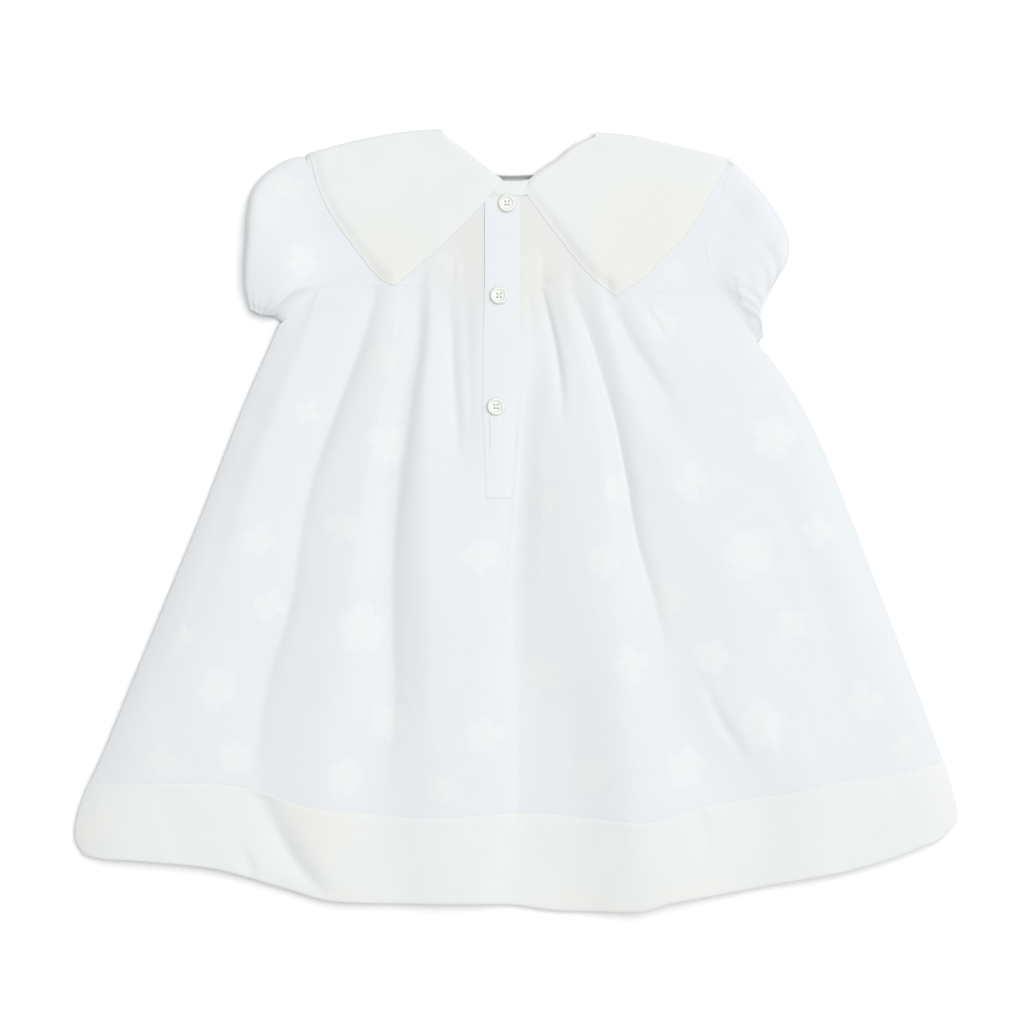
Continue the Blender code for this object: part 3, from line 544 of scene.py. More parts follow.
ROLL_RIGHT_HEIGHT = (6.4, 7.0, 7.5, 8.8, 9.2, 8.8, 8.0, 6.0)
SIDE_EDGE_HEIGHT = ((-230.0, 2.9), (98.0, 2.9), (134.0, 6.0), (230.0, 6.0))
SIDE_ROLL = 12.0
# How many times steeper than its chord the cloth starts at the left and the right side edge.
EDGE_SLOPES = (1.5, 2.0)
CELLS_BETWEEN_FOLDS = (16, 16, 26, 26, 20, 20, 16, 16, 16, 24, 18, 22, 24, 24, 18, 20, 18, 24)
# The first two rows inside an edge lie this far from it, so that its rim is smooth.
CLOSE_ROWS = (0.35, 1.1)
CELL_CROWDING = 0.5
SKIRT_ROWS = 118
BAND_ROWS = 34

# Finer creases. A crease runs down through (y, x, depth), and fades out over CREASE_END beyond its
# ends. A power of 2 makes it round and a lower one makes it sharp.
CREASE_END = 5.0
CREASES = (
    # left width, right width, power, ((y, x, depth), ...)
    (9.0, 5.0, 1.5, ((130, -81, 1.6), (105, -88, 2.6), (70, -101, 2.8), (20, -118, 2.2),
        (-10, -124, 1.8), (-50, -130, 1.8), (-90, -142, 1.5), (-120, -147, 1.2),
        (-146, -149, 0.5))),
    (9.0, 4.2, 1.5, ((130, -54, 0.6), (105, -55, 1.2), (70, -60, 1.7), (30, -66, 2.3),
        (-10, -70, 2.3), (-60, -71, 1.8), (-110, -70, 1.1), (-150, -74, 0.4))),
    (3.0, 3.0, 2.0, ((128, -38, 0.2), (112, -37, 1.0), (82, -36, 1.3), (55, -34, 1.0),
        (34, -33, 0.1))),
    (2.4, 2.6, 2.0, ((130, -29, 0.2), (116, -28, 0.5), (90, -27, 0.6), (62, -26, 0.4),
        (44, -25, 0.1))),
    (2.4, 2.0, 1.4, ((132, 15, 0.8), (118, 18.5, 2.0), (98, 23, 2.5), (76, 26, 2.0),
        (58, 27, 0.3))),
    (4.0, 4.0, 1.4, ((132, 31, 0.8), (109, 40.5, 1.8), (86, 48, 1.9), (57, 56.5, 3.0),
        (23, 63, 4.0), (-11, 69, 3.0), (-46, 79, 1.5), (-70, 85, 0.6))),
    (3.2, 4.0, 1.6, ((-84, 102, 0.1), (-104, 112, 1.0), (-117, 118, 1.5), (-128, 125, 1.0),
        (-140, 131, 0.2))),
    (3.5, 4.0, 2.0, ((131, 53, 0.3), (108, 63, 0.9), (84, 78, 0.7), (64, 90, 0.1))),
    (2.0, 3.0, 2.0, ((131, -64, 0.1), (120, -66, 0.6), (96, -68, 0.3), (80, -69, 0.1))),
    (1.6, 2.0, 2.0, ((132, 6, 0.1), (124, 8, 0.5), (108, 9, 0.4), (92, 10, 0.1))),
    (1.5, 2.4, 2.0, ((131, 68, 0.1), (122, 74, 0.5), (108, 84, 0.4), (96, 92, 0.1))),
    (5.0, 7.0, 2.0, ((-100, 150, 0.1), (-120, 150, 0.6), (-140, 154, 0.4), (-156, 160, 0.1))),
    (6.0, 6.0, 2.0, ((60, -148, 0.1), (10, -164, 0.4), (-50, -182, 0.5), (-110, -204, 0.2))),
    (6.0, 9.0, 2.0, ((40, 140, 0.1), (-10, 160, 0.5), (-60, 176, 0.4), (-110, 190, 0.1))),
)
# Shallow waves of the whole cloth: length across and down, height, and the seed of its noise.
SKIRT_WAVES = ((17.0, 70.0, 0.26, 11), (9.0, 38.0, 0.10, 12), (40.0, 120.0, 0.35, 13))
SKIRT_FAN = 300.0
LATTICE = 64
LATTICE_START = 20
SEAM_DIP = 0.15
SEAM_DIP_REACH = 1.2
SEAM_WAVE_REACH = 9.0
LOWEST_CLOTH = 1.75
# The opening is lapped under the placket, which lifts the cloth beside it: height, x and width of
# the rise, the y where it ends, and how far above that it is full.
LAP_RISE = 0.9
LAP_X = -9.0
LAP_WIDTH = 24.0
LAP_END = 0.0
LAP_FADE = 40.0


def fold_nodes(y):
    """x and height of each fold line at y, from the left side edge to the right one."""

    def down(values):
        return hermite(STATIONS[::-1], values[::-1], y)

    left = side_x(SIDE_LEFT, y)
    right = side_x(SIDE_RIGHT, y)
    edge = along_x(SIDE_EDGE_HEIGHT, y)
    xs = [left, left + SIDE_ROLL, *(down(row[1]) for row in FOLDS), right - SIDE_ROLL, right]
    zs = [edge, down(ROLL_LEFT_HEIGHT), *(down(row[2]) for row in FOLDS), down(ROLL_RIGHT_HEIGHT)]
    return np.stack(xs), np.stack([*zs, edge])


def fold_height(x, y):
    """Height across the folds: cubic spans from each fold line to the next, level where the folds
    turn, with the slopes that EDGE_SLOPES gives at the side edges."""
    shape = x.shape
    x = x.ravel()
    xs, zs = fold_nodes(y.ravel())
    step = np.diff(xs, axis=0)
    slope = node_slopes(step, np.diff(zs, axis=0) / step, level=True)
    slope[0] *= EDGE_SLOPES[0]
    slope[-1] *= EDGE_SLOPES[1]
    x = np.clip(x, xs[0], xs[-1])
    i = np.clip((xs <= x).sum(axis=0) - 1, 0, len(xs) - 2)
    at = np.arange(len(x))
    run = step[i, at]
    t = (x - xs[i, at]) / run
    height = cubic(t, run, zs[i, at], slope[i, at], zs[i + 1, at], slope[i + 1, at])
    return height.reshape(shape)


def soft_noise(u, v, seed):
    """Smooth noise between -1 and 1: random values on a unit lattice, blended with the smoothstep
    of the place within each cell."""
    lattice = np.random.default_rng(seed).uniform(-1, 1, (LATTICE, LATTICE))
    i = np.floor(u).astype(int)
    j = np.floor(v).astype(int)
    a = u - i
    b = v - j
    a = a * a * (3 - 2 * a)
    b = b * b * (3 - 2 * b)
    i, i_next, j, j_next = i % LATTICE, (i + 1) % LATTICE, j % LATTICE, (j + 1) % LATTICE
    low = lattice[i, j] * (1 - a) + lattice[i_next, j] * a
    high = lattice[i, j_next] * (1 - a) + lattice[i_next, j_next] * a
    return low * (1 - b) + high * b


def waves(x, y, rows, other=0):
    """Sum of soft noises over the plan, one for each row of (length across, length down, height,
    seed). `other` is added to the seeds."""
    return sum(
        height * soft_noise(x / across + LATTICE_START, y / down + LATTICE_START, seed + other)
        for across, down, height, seed in rows
    )


def bell(off, width):
    """1 at 0, falling away as exp(-(off / width)^2)."""
    return np.exp(-((off / width) ** 2))


def crease_depth(x, y, creases):
    """Depth of all creases at (x, y): each falls away across its line as exp(-|off / width|^power),
    with its own width on either side, and ends smoothly at its first and last y."""
    depth = np.zeros_like(x)
    for left_width, right_width, power, path in creases:
        down, middle, deep = np.array(path, float)[::-1].T
        beyond = np.maximum(np.maximum(down[0] - y, y - down[-1]), 0.0)
        here = np.maximum(hermite(down, deep, y, level=True), 0.0) * bell(beyond, CREASE_END)
        off = x - hermite(down, middle, y)
        width = np.where(off < 0, left_width, right_width)
        depth += here * np.exp(-(abs(off / width) ** power))
    return depth


def smooth_step(t):
    """0 below 0, 1 above 1 and 3 t^2 - 2 t^3 between."""
    t = np.clip(t, 0, 1)
    return t * t * (3 - 2 * t)


def lap_rise(x, y):
    """Rise of the cloth over the lapped opening: a bell across it, which fades below its end."""
    return LAP_RISE * bell(x - LAP_X, LAP_WIDTH) * smooth_step((y - LAP_END) / LAP_FADE)


def from_side(x, y):
    """Distance along x to the nearer side edge."""
    return np.minimum(x - side_x(SIDE_LEFT, y), side_x(SIDE_RIGHT, y) - x)


def skirt_height(x, y):
    """Height of the back skirt: the folds and the lap's rise, less the fine creases and the seam's
    dip, with shallow waves that lie along the folds and die out at the side edges and the seam."""
    wave = waves(fanned(x, y, SKIRT_FAN), y, SKIRT_WAVES)
    dip = SEAM_DIP * bell(y - along_x(BAND_SEAM, x), SEAM_DIP_REACH)
    fade = smooth_step(from_side(x, y) / SIDE_ROLL)
    fade = fade * smooth_step((along_x(SKIRT_TOP, x) - y) / SEAM_WAVE_REACH)
    height = fold_height(x, y) + lap_rise(x, y) - crease_depth(x, y, CREASES) - dip + wave * fade
    return np.maximum(height, LOWEST_CLOTH)


def eased(count, crowd):
    """Fractions from 0 to 1 that crowd towards both ends."""
    t = np.linspace(0, 1, count)
    return t - crowd * np.sin(2 * math.pi * t) / (2 * math.pi)


def column_x(u, y):
    """x at y of the skirt's column u, which counts fold lines from the left side edge."""
    xs, _ = fold_nodes(y)
    i = np.clip(np.floor(u).astype(int), 0, len(xs) - 2)
    at = np.arange(len(u))
    return xs[i, at] + (u - i) * (xs[i + 1, at] - xs[i, at])


def close_rows(count, length):
    """Even fractions from 0 to 1, with CLOSE_ROWS just inside either end of that length."""
    close = np.array(CLOSE_ROWS) / length
    inner = np.linspace(0, 1, count + 1)[1:-1]
    return np.concatenate([[0], close, inner, 1 - close[::-1], [1]])


def skirt_plan(upper, upper_shift, lower, lower_shift, rows):
    """Plan grid of a skirt piece: its columns follow the folds from its upper edge to its lower
    one, and crowd towards each fold line."""
    parts = [i + eased(n + 1, CELL_CROWDING)[:-1] for i, n in enumerate(CELLS_BETWEEN_FOLDS)]
    u = np.concatenate(parts + [[len(CELLS_BETWEEN_FOLDS)]])
    ends = []
    for line, shift in ((upper, upper_shift), (lower, lower_shift)):
        y = np.full(len(u), float(line[0][1]))
        for _ in range(EDGE_STEPS):
            y = along_x(line, column_x(u, y))
        ends.append(y + shift)
    grid = []
    for v in close_rows(rows, (ends[0] - ends[1]).mean()):
        y = ends[0] * (1 - v) + ends[1] * v
        grid.append(np.stack([column_x(u, y), y], axis=-1))
    return np.array(grid)


skirt_face = raised(skirt_plan(SKIRT_TOP, 0.0, BAND_SEAM, 0.0, SKIRT_ROWS), skirt_height)
back_skirt = cloth_sheet("back_skirt", "voile", skirt_face, VOILE_WALL, voile)

# --------------------------------------------------------------------------------------------------
# Back hem band. A doubled band of plain poplin, sewn to the skirt's lower edge and folded along the
# hem. It is stiffer than the voile, so it rounds off the folds and buckles between them.

BAND_RISE = 0.30
BAND_RISE_REACH = 1.6
BAND_WAVES = ((31.0, 46.0, 0.45, 18), (11.0, 15.0, 0.14, 19))
BAND_EDGE_ROLL = 2.4
BAND_EDGE_DROP = 1.1
BAND_STIFFNESS = 6.0
BAND_BLEND = 7.0
BAND_BUCKLE_START = 5.0
BAND_BUCKLES = (
    # left width, right width, power, ((y, x, depth), ...)
    (9.0, 8.0, 1.6, ((-154, -148, 1.2), (-170, -141, 2.2), (-186, -133, 3.0), (-200, -124, 2.7),
        (-213, -112, 1.5))),
    (4.0, 2.5, 2.0, ((-186, -157, 0.2), (-198, -153, 1.2), (-208, -150, 0.8))),
    (6.0, 6.0, 2.0, ((-150, -205, 0.1), (-172, -198, 0.5), (-194, -190, 0.7))),
    (1.8, 5.0, 1.6, ((-160, 101, 1.0), (-170, 104, 1.8), (-184, 107, 0.9), (-200, 109, 0.2))),
    (9.0, 9.0, 2.0, ((-152, 150, 0.2), (-170, 145, 0.7), (-190, 142, 0.4), (-202, 140, 0.1))),
    (7.0, 7.0, 2.0, ((-144, 218, 0.1), (-160, 222, 0.4), (-180, 226, 0.2))),
)


def band_height(x, y):
    """Height of the hem band: the mean height of the folds at five places, up to BAND_STIFFNESS to
    either side, and near the seam the skirt's own height, which keeps the seam closed. To that come
    a fuller face and soft waves. Its buckles start below the seam, and the hem edge rolls down as a
    quarter ellipse."""
    edge_fade = np.clip(from_side(x, y) / SIDE_ROLL, 0, 1)
    wave = waves(x, y, BAND_WAVES) * edge_fade
    seam = along_x(BAND_SEAM, x) - y
    full = BAND_RISE * (1 - bell(seam, BAND_RISE_REACH))
    hem = np.clip(y - along_x(HEM, x), 0, None)
    roll = BAND_EDGE_DROP * (1 - np.sqrt(1 - np.clip(1 - hem / BAND_EDGE_ROLL, 0, 1) ** 2))
    stiff = BAND_STIFFNESS * edge_fade
    even = sum(fold_height(x + stiff * k, y) for k in (-1, -0.5, 0, 0.5, 1)) / 5
    near_seam = 1 - smooth_step(seam / BAND_BLEND)
    folds = near_seam * (skirt_height(x, y) - wave) + (1 - near_seam) * even
    buckles = crease_depth(x, y, BAND_BUCKLES) * smooth_step(seam / BAND_BUCKLE_START)
    return folds + wave - buckles + full - roll


band_plan = skirt_plan(BAND_SEAM, 0.0, HEM, 0.0, BAND_ROWS)
back_band = cloth_sheet(
    "back_hem_band", "poplin", raised(band_plan, band_height), POPLIN_WALL, poplin,
)

# --------------------------------------------------------------------------------------------------
# Front yoke. The small panel of voile over the front skirt, sewn to it. Only its neck edge shows,
# past the back neckline.

FRONT_NECK = (
    (-50.0, 214.5), (-33.0, 205.5), (-18.0, 199.6), (-8.0, 198.0), (9.0, 198.3), (21.0, 199.8),
    (36.0, 206.0), (53.0, 212.0),
)
FRONT_YOKE_LEFT = ((-110.0, 184.0), (-101.0, 160.0), (-100.0, 130.5))
FRONT_YOKE_RIGHT = ((113.0, 182.0), (107.0, 158.0), (109.0, 125.6))
SHOULDER_LEFT = ((-53.0, 218.6), (-78.5, 217.8), (-102.0, 212.4), (-120.0, 207.6))
SHOULDER_RIGHT = ((55.0, 216.3), (82.5, 213.8), (105.0, 208.6), (123.8, 204.2))
FRONT_YOKE_LEVEL = 2.5
FRONT_YOKE_OVERLAP = 4.0
FRONT_YOKE_ROWS = 110
FRONT_SHOULDER_COLUMNS = 14
FRONT_NECK_COLUMNS = 40
FRONT_YOKE_WAVES = ((25.0, 25.0, 0.1, 20),)
# The neck edge curls up, and the cloth sags just inside it: height or depth, place and width.
NECK_CURL = 2.6
NECK_CURL_WIDTH = 0.9
NECK_SAG = 2.0
NECK_SAG_AT = 2.6
NECK_SAG_WIDTH = 1.3


def curve(points, where):
    """Plan points along the smooth curve through points, at fractions `where` of its length, or at
    that many even ones."""
    points = np.asarray(points, float)
    where = np.linspace(0, 1, where) if isinstance(where, int) else np.asarray(where, float)
    along = walked(np.hypot(*np.diff(points, axis=0).T))
    where = where * along[-1]
    return np.stack([hermite(along, points[:, k], where) for k in range(2)], axis=-1)


def coons(start, end, first, last):
    """Plan grid between four edges, as a Coons patch: the sum of the two ruled surfaces between
    facing edges, less the bilinear one through the corners."""
    v = np.linspace(0, 1, len(first))[:, None, None]
    u = np.linspace(0, 1, len(start))[None, :, None]
    along = (1 - v) * start[None] + v * end[None]
    across = (1 - u) * first[:, None] + u * last[:, None]
    corners = (1 - u) * ((1 - v) * start[0] + v * end[0]) + u * ((1 - v) * start[-1] + v * end[-1])
    return along + across - corners


def front_yoke_plan():
    """Grid from the shoulders and the neck down to the overlap with the front skirt."""
    left = curve(SHOULDER_LEFT[::-1], FRONT_SHOULDER_COLUMNS) - (0, HEM_STEP)
    right = curve(SHOULDER_RIGHT, FRONT_SHOULDER_COLUMNS) - (0, HEM_STEP)
    top = np.concatenate([left[:-1], curve(FRONT_NECK, FRONT_NECK_COLUMNS), right[1:]])
    bottom_x = np.linspace(FRONT_YOKE_LEFT[-1][0], FRONT_YOKE_RIGHT[-1][0], len(top))
    bottom = np.stack([bottom_x, along_x(SKIRT_TOP, bottom_x) - FRONT_YOKE_OVERLAP], axis=-1)
    side_left = curve([top[0], *FRONT_YOKE_LEFT[:-1], bottom[0]], FRONT_YOKE_ROWS)
    side_right = curve([top[-1], *FRONT_YOKE_RIGHT[:-1], bottom[-1]], FRONT_YOKE_ROWS)
    return coons(top, bottom, side_left, side_right)


def front_yoke_height(x, y):
    """Nearly flat, with broad waves, a curl up along the neck edge and a sag inside it, both bells
    of the distance below that edge."""
    inside = np.maximum(along_x(FRONT_NECK, x) - y, 0)
    curl = NECK_CURL * bell(inside, NECK_CURL_WIDTH)
    sag = NECK_SAG * bell(inside - NECK_SAG_AT, NECK_SAG_WIDTH)
    at_neck = (x > FRONT_NECK[0][0]) & (x < FRONT_NECK[-1][0])
    return FRONT_YOKE_LEVEL + waves(x, y, FRONT_YOKE_WAVES) + (curl - sag) * at_neck


front_yoke = cloth_sheet(
    "front_yoke", "voile", raised(front_yoke_plan(), front_yoke_height), VOILE_WALL, voile,
)

# --------------------------------------------------------------------------------------------------
# Back yoke and neckband. Two halves of voile meet under the placket. Their lower edge is folded
# over the gathered skirt, which lifts it into a soft ridge. A poplin strip stands along the neck.

YOKE_HEIGHT = ((225.0, 4.5), (210.0, 4.6), (195.0, 5.6), (165.0, 6.8), (134.0, 7.0))
YOKE_OPENING_X = -18.0
YOKE_CORNER = 4
ARMHOLE_LEFT = (
    (-120.6, 209.0), (-112.0, 183.7), (-103.3, 163.6), (-101.0, 148.0), (-109.6, 133.4),
    (-124.0, 121.8), (-134.5, 113.5),
)
ARMHOLE_RIGHT = (
    (124.8, 205.5), (115.0, 180.8), (109.0, 158.0), (111.5, 142.0), (119.3, 128.8), (127.0, 120.5),
    (138.8, 102.8),
)
BAND_UPPER_LEFT = ((-18.3, 197.6), (-21.0, 199.3), (-33.5, 209.5), (-45.5, 220.0))
BAND_LOWER_LEFT = ((-18.3, 189.9), (-25.5, 194.5), (-38.5, 204.5), (-52.6, 218.2))
BAND_UPPER_RIGHT = (
    (-18.0, 197.4), (-10.0, 195.0), (0.0, 194.5), (9.0, 195.8), (22.5, 202.4), (33.0, 210.5),
    (48.0, 217.2),
)
BAND_LOWER_RIGHT = (
    (-18.0, 189.7), (-10.0, 186.8), (0.0, 186.0), (12.5, 187.8), (27.0, 196.0), (38.0, 205.0),
    (54.5, 215.6),
)
YOKE_ROWS = 60
YOKE_LENGTH = 75.0
YOKE_NECK_COLUMNS = 34
YOKE_SHOULDER_COLUMNS = 28
YOKE_SEAM_REACH = 9.0
YOKE_WAVES = ((19.0, 23.0, 0.25, 14), (7.0, 8.0, 0.08, 15))
# The left half stops short of the right one's edge by this much.
YOKE_GAP = 0.3
# Puckers that the gathers push up into the yoke: x at the seam, length and depth of each.
YOKE_PUCKERS = (
    (-66, 6, 0.2), (-53, 12, 0.4), (-45, 6, 0.2), (-36, 15, 0.6), (-30, 10, 0.5), (8, 8, 0.3),
    (16, 17, 0.7), (25, 8, 0.3), (32, 13, 0.5), (44, 7, 0.2), (53, 10, 0.4), (68, 8, 0.2),
)
YOKE_PUCKER_WIDTH = 1.8
YOKE_PUCKER_START = 1.5


def yoke_level(x, y):
    """Level of the yoke, which sinks towards the neck and the shoulders."""
    return along_x(YOKE_HEIGHT[::-1], y)


def yoke_height(x, y):
    """The skirt's height at the seam, which blends upwards into the yoke's level over a few
    millimetres, with the lap's rise, soft waves, and puckers that fade upwards from the seam."""
    seam = along_x(SKIRT_TOP, x)
    over = np.clip(y - seam, 0, None)
    near = bell(over, YOKE_SEAM_REACH)
    pucker = np.zeros_like(x)
    for centre, length, depth in YOKE_PUCKERS:
        along = bell(over, length) - bell(over, YOKE_PUCKER_START)
        pucker = pucker + depth * bell(x - centre, YOKE_PUCKER_WIDTH) * along
    level = yoke_level(x, y) + lap_rise(x, y) + waves(x, y, YOKE_WAVES)
    return near * skirt_height(x, seam) + (1 - near) * level - pucker


def back_face_height(x, y):
    """Height of the back: the yoke's above the gathered seam and the skirt's below it."""
    return np.where(y > along_x(SKIRT_TOP, x), yoke_height(x, y), skirt_height(x, y))


def yoke_share(armhole):
    """Fraction of an armhole's length that lies on the yoke."""
    length = np.linalg.norm(np.diff(armhole, axis=0), axis=1)
    return length[:YOKE_CORNER].sum() / length.sum()


def yoke_half_plan(neck, shoulder, armhole, opening_x):
    """Plan grid of half a yoke, from its middle edge out to the armhole."""
    neck = curve(neck, YOKE_NECK_COLUMNS)
    shoulder = curve(shoulder, close_rows(YOKE_SHOULDER_COLUMNS, YOKE_LENGTH))
    top = np.concatenate([neck, shoulder[1:]])
    rows = close_rows(YOKE_ROWS, YOKE_LENGTH)
    side = curve(armhole, yoke_share(armhole) * rows)
    side[0] = top[-1]
    along = close_rows(len(top) - 1 - 2 * len(CLOSE_ROWS), YOKE_LENGTH)
    bottom_x = opening_x + (side[-1, 0] - opening_x) * along
    bottom = np.stack([bottom_x, along_x(SKIRT_TOP, bottom_x)], axis=-1)
    side[-1] = bottom[-1]
    middle = top[0] + (bottom[0] - top[0]) * rows[:, None]
    return coons(top, bottom, middle, side)


yoke_parts = (
    ("left", BAND_LOWER_LEFT, SHOULDER_LEFT, ARMHOLE_LEFT, YOKE_GAP, (0.103, 0.085)),
    ("right", BAND_LOWER_RIGHT, SHOULDER_RIGHT, ARMHOLE_RIGHT, 0.0, (0.143, 0.088)),
)
for side, neck, shoulder, armhole, gap, flat in yoke_parts:
    plan = yoke_half_plan(neck, shoulder, armhole, YOKE_OPENING_X - gap)
    half_yoke = cloth_sheet(
        f"back_yoke_{side}", "voile", raised(plan, yoke_height), VOILE_WALL, voile,
    )

NECKBAND_ROLL = 0.35
NECKBAND_ROWS = 9
NECKBAND_COLUMNS = 60
for side, upper, lower in (
    ("left", BAND_UPPER_LEFT, BAND_LOWER_LEFT), ("right", BAND_UPPER_RIGHT, BAND_LOWER_RIGHT),
):
    depth = np.linspace(0, 1, NECKBAND_ROWS)[:, None, None]
    plan = curve(upper, NECKBAND_COLUMNS) * (1 - depth) + curve(lower, NECKBAND_COLUMNS) * depth
    rise = NECKBAND_ROLL * np.sin(math.pi * depth[..., 0]) + lap_rise(plan[..., 0], plan[..., 1])
    face = raised(plan, yoke_level, rise)
    neckband = cloth_sheet(f"neckband_{side}", "poplin", face, POPLIN_WALL, poplin)

# --------------------------------------------------------------------------------------------------
# Collar. Two halves of crisp ivory poplin, each pointed at its free corner. A half starts at the
# back of the neck, lies over the yoke, and folds over the shoulder to the front. Its edges are
# turned in.

COLLAR_LEFT = {
    "neck": ((-7.5, 195.7), (-18.9, 203.8), (-31.6, 214.1), (-42.2, 221.8)),
    "outer": ((-69.5, 134.3), (-77.0, 137.8), (-87.8, 149.8), (-95.5, 160.1), (-103.8, 171.5),
              (-112.5, 188.3), (-118.2, 208.2)),
    "free": ((-7.5, 195.7), (-16.6, 184.2), (-43.6, 156.7), (-69.5, 134.3)),
    "shoulder": ((-42.2, 221.8), (-55.0, 221.2), (-78.5, 218.0), (-101.5, 212.8), (-118.2, 208.2)),
    "front_neck": ((-1.4, 196.5), (-18.0, 202.0), (-31.0, 211.5), (-42.2, 221.8)),
    "front_free": ((-1.4, 196.5), (-31.0, 171.0), (-62.0, 143.0)),
    "front_outer": ((-62.0, 143.0), (-92.0, 174.0), (-118.2, 208.2)),
}
COLLAR_RIGHT = {
    "neck": ((2.9, 191.1), (10.3, 198.4), (22.6, 206.6), (33.5, 215.4), (45.5, 220.0)),
    "outer": ((57.4, 128.0), (75.2, 140.6), (84.5, 150.5), (95.3, 161.3), (105.5, 175.1),
              (113.7, 190.5), (122.6, 204.8)),
    "free": ((2.9, 191.1), (13.2, 177.4), (25.3, 161.3), (41.3, 141.5), (57.4, 128.0)),
    "shoulder": ((45.5, 220.0), (70.0, 217.6), (82.5, 214.6), (105.0, 209.3), (122.6, 204.8)),
    "front_neck": ((1.4, 196.5), (21.0, 201.5), (33.5, 210.5), (45.5, 220.0)),
    "front_free": ((1.4, 196.5), (31.0, 171.0), (62.0, 143.0)),
    "front_outer": ((62.0, 143.0), (94.0, 174.0), (122.6, 204.8)),
}
COLLAR_WALL = 0.6
COLLAR_OVER_YOKE = 0.34
COLLAR_FREE_LIFT = 1.2
COLLAR_LIFT_REACH = 0.6
COLLAR_LIFT_INSET = 14.0
COLLAR_NECK_DROP = 2.0
COLLAR_NECK_ROLL = 3.0
COLLAR_SHOULDER_SHARE = 0.25
COLLAR_FOLD_REACH = 3.0
COLLAR_FULLNESS = 1.0
COLLAR_FULL_INSET = 7.0
COLLAR_COLOUR = (0.722, 0.742, 0.734)
COLLAR_SHADE = (0.706, 0.726, 0.716)
COLLAR_DRIFT = (0.708, 0.739, 0.737)
# Each half is creamier towards its point: colour, place and reach. It is wholly so within
# CREAM_INNER of the place.
CREAM_INNER = 0.004
COLLAR_CREAM = (
    ((0.722, 0.732, 0.708), (-74.0 * MM, 146.0 * MM, 0.008), 0.055),
    ((0.722, 0.725, 0.690), (80.0 * MM, 156.0 * MM, 0.008), 0.066),
)
COLLAR_WAVES = ((33.0, 27.0, 0.35, 16), (12.0, 10.0, 0.08, 36))
COLLAR_WAVES_END = 2.5
COLLAR_CROWDING = 0.6
COLLAR_ON_TABLE = 0.05
COLLAR_ACROSS = 76
COLLAR_BACK_ROWS = 84
COLLAR_FOLD_ROWS = 12
COLLAR_FRONT_ROWS = 30
# Points along each edge of a plan from which a grid is picked, and along an edge that a distance is
# measured to, in so many parts.
EDGE_POINTS = 121
NEAR_POINTS = 160
NEAR_PARTS = 20


def picked(fine_plan, at):
    """Points of each row of fine_plan at fractions `at` of the row, by linear interpolation."""
    at = at * (fine_plan.shape[1] - 1)
    low = np.clip(np.floor(at).astype(int), 0, fine_plan.shape[1] - 2)
    row = np.arange(len(fine_plan))[:, None]
    part = (at - low)[..., None]
    return fine_plan[row, low] * (1 - part) + fine_plan[row, low + 1] * part


def to_edges(plan, edges):
    """Distance from each plan point to the nearest of the edge curves."""
    nearest = np.full(plan.shape[:-1], np.inf)
    for edge in edges:
        for part in np.array_split(curve(edge, NEAR_POINTS), NEAR_PARTS):
            gap = np.linalg.norm(plan[..., None, :] - part, axis=-1).min(axis=-1)
            nearest = np.minimum(nearest, gap)
    return nearest


def collar_face(edges, side):
    """Outer points of a collar half: the leaf on the back, the roll over the shoulder, and the flat
    leaf under the front. The leaf rests on the back along its edges and is fuller between them,
    most of all near the neck. The roll is half an ellipse from the back's height to the table."""
    row = eased(COLLAR_BACK_ROWS + 1, COLLAR_CROWDING)[:, None]
    across = eased(COLLAR_ACROSS + 1, COLLAR_CROWDING)
    plan = coons(*(curve(edges[key], EDGE_POINTS) for key in ("free", "shoulder", "neck", "outer")))
    plan = picked(plan, across[None])
    plan = np.swapaxes(picked(np.swapaxes(plan, 0, 1), row.T), 0, 1)
    from_neck = np.linalg.norm(plan - plan[:, :1], axis=-1)
    inset = to_edges(plan, (edges["free"], edges["outer"]))
    lift = COLLAR_FREE_LIFT * np.clip(1 - row / COLLAR_LIFT_REACH, 0, 1) ** 2
    lift = lift * smooth_step(inset / COLLAR_LIFT_INSET)
    drop = COLLAR_NECK_DROP * np.clip(1 - from_neck / COLLAR_NECK_ROLL, 0, 1) ** 2
    drop *= np.clip((1 - row) / COLLAR_SHOULDER_SHARE, 0, 1)
    x = plan[..., 0]
    y = plan[..., 1]
    wave = waves(x, y, COLLAR_WAVES, side) * np.clip(COLLAR_WAVES_END * (1 - row), 0, 1)
    full = smooth_step(inset / COLLAR_FULL_INSET)
    base = back_face_height(x, y) + full * (COLLAR_FULLNESS + wave)
    back = at_height(plan, base + COLLAR_OVER_YOKE + lift - drop)
    spring = back[-1]
    away = np.gradient(spring[:, :2], axis=0)
    away = unit(np.stack([-away[:, 1], away[:, 0]], axis=1))
    away *= np.sign(away[:, 1:])
    middle = spring[:, 2] / 2
    fold = []
    for angle in np.linspace(0, math.pi, COLLAR_FOLD_ROWS + 1)[1:]:
        over = spring[:, :2] + COLLAR_FOLD_REACH * math.sin(angle) * away
        fold.append(at_height(over, middle + (middle - COLLAR_ON_TABLE) * math.cos(angle)))
    front = coons(
        spring[:, :2], curve(edges["front_free"], across),
        curve(edges["front_neck"][::-1], COLLAR_FRONT_ROWS + 1),
        curve(edges["front_outer"][::-1], COLLAR_FRONT_ROWS + 1),
    )
    return np.concatenate([back, np.array(fold), at_height(front[1:], COLLAR_ON_TABLE)])


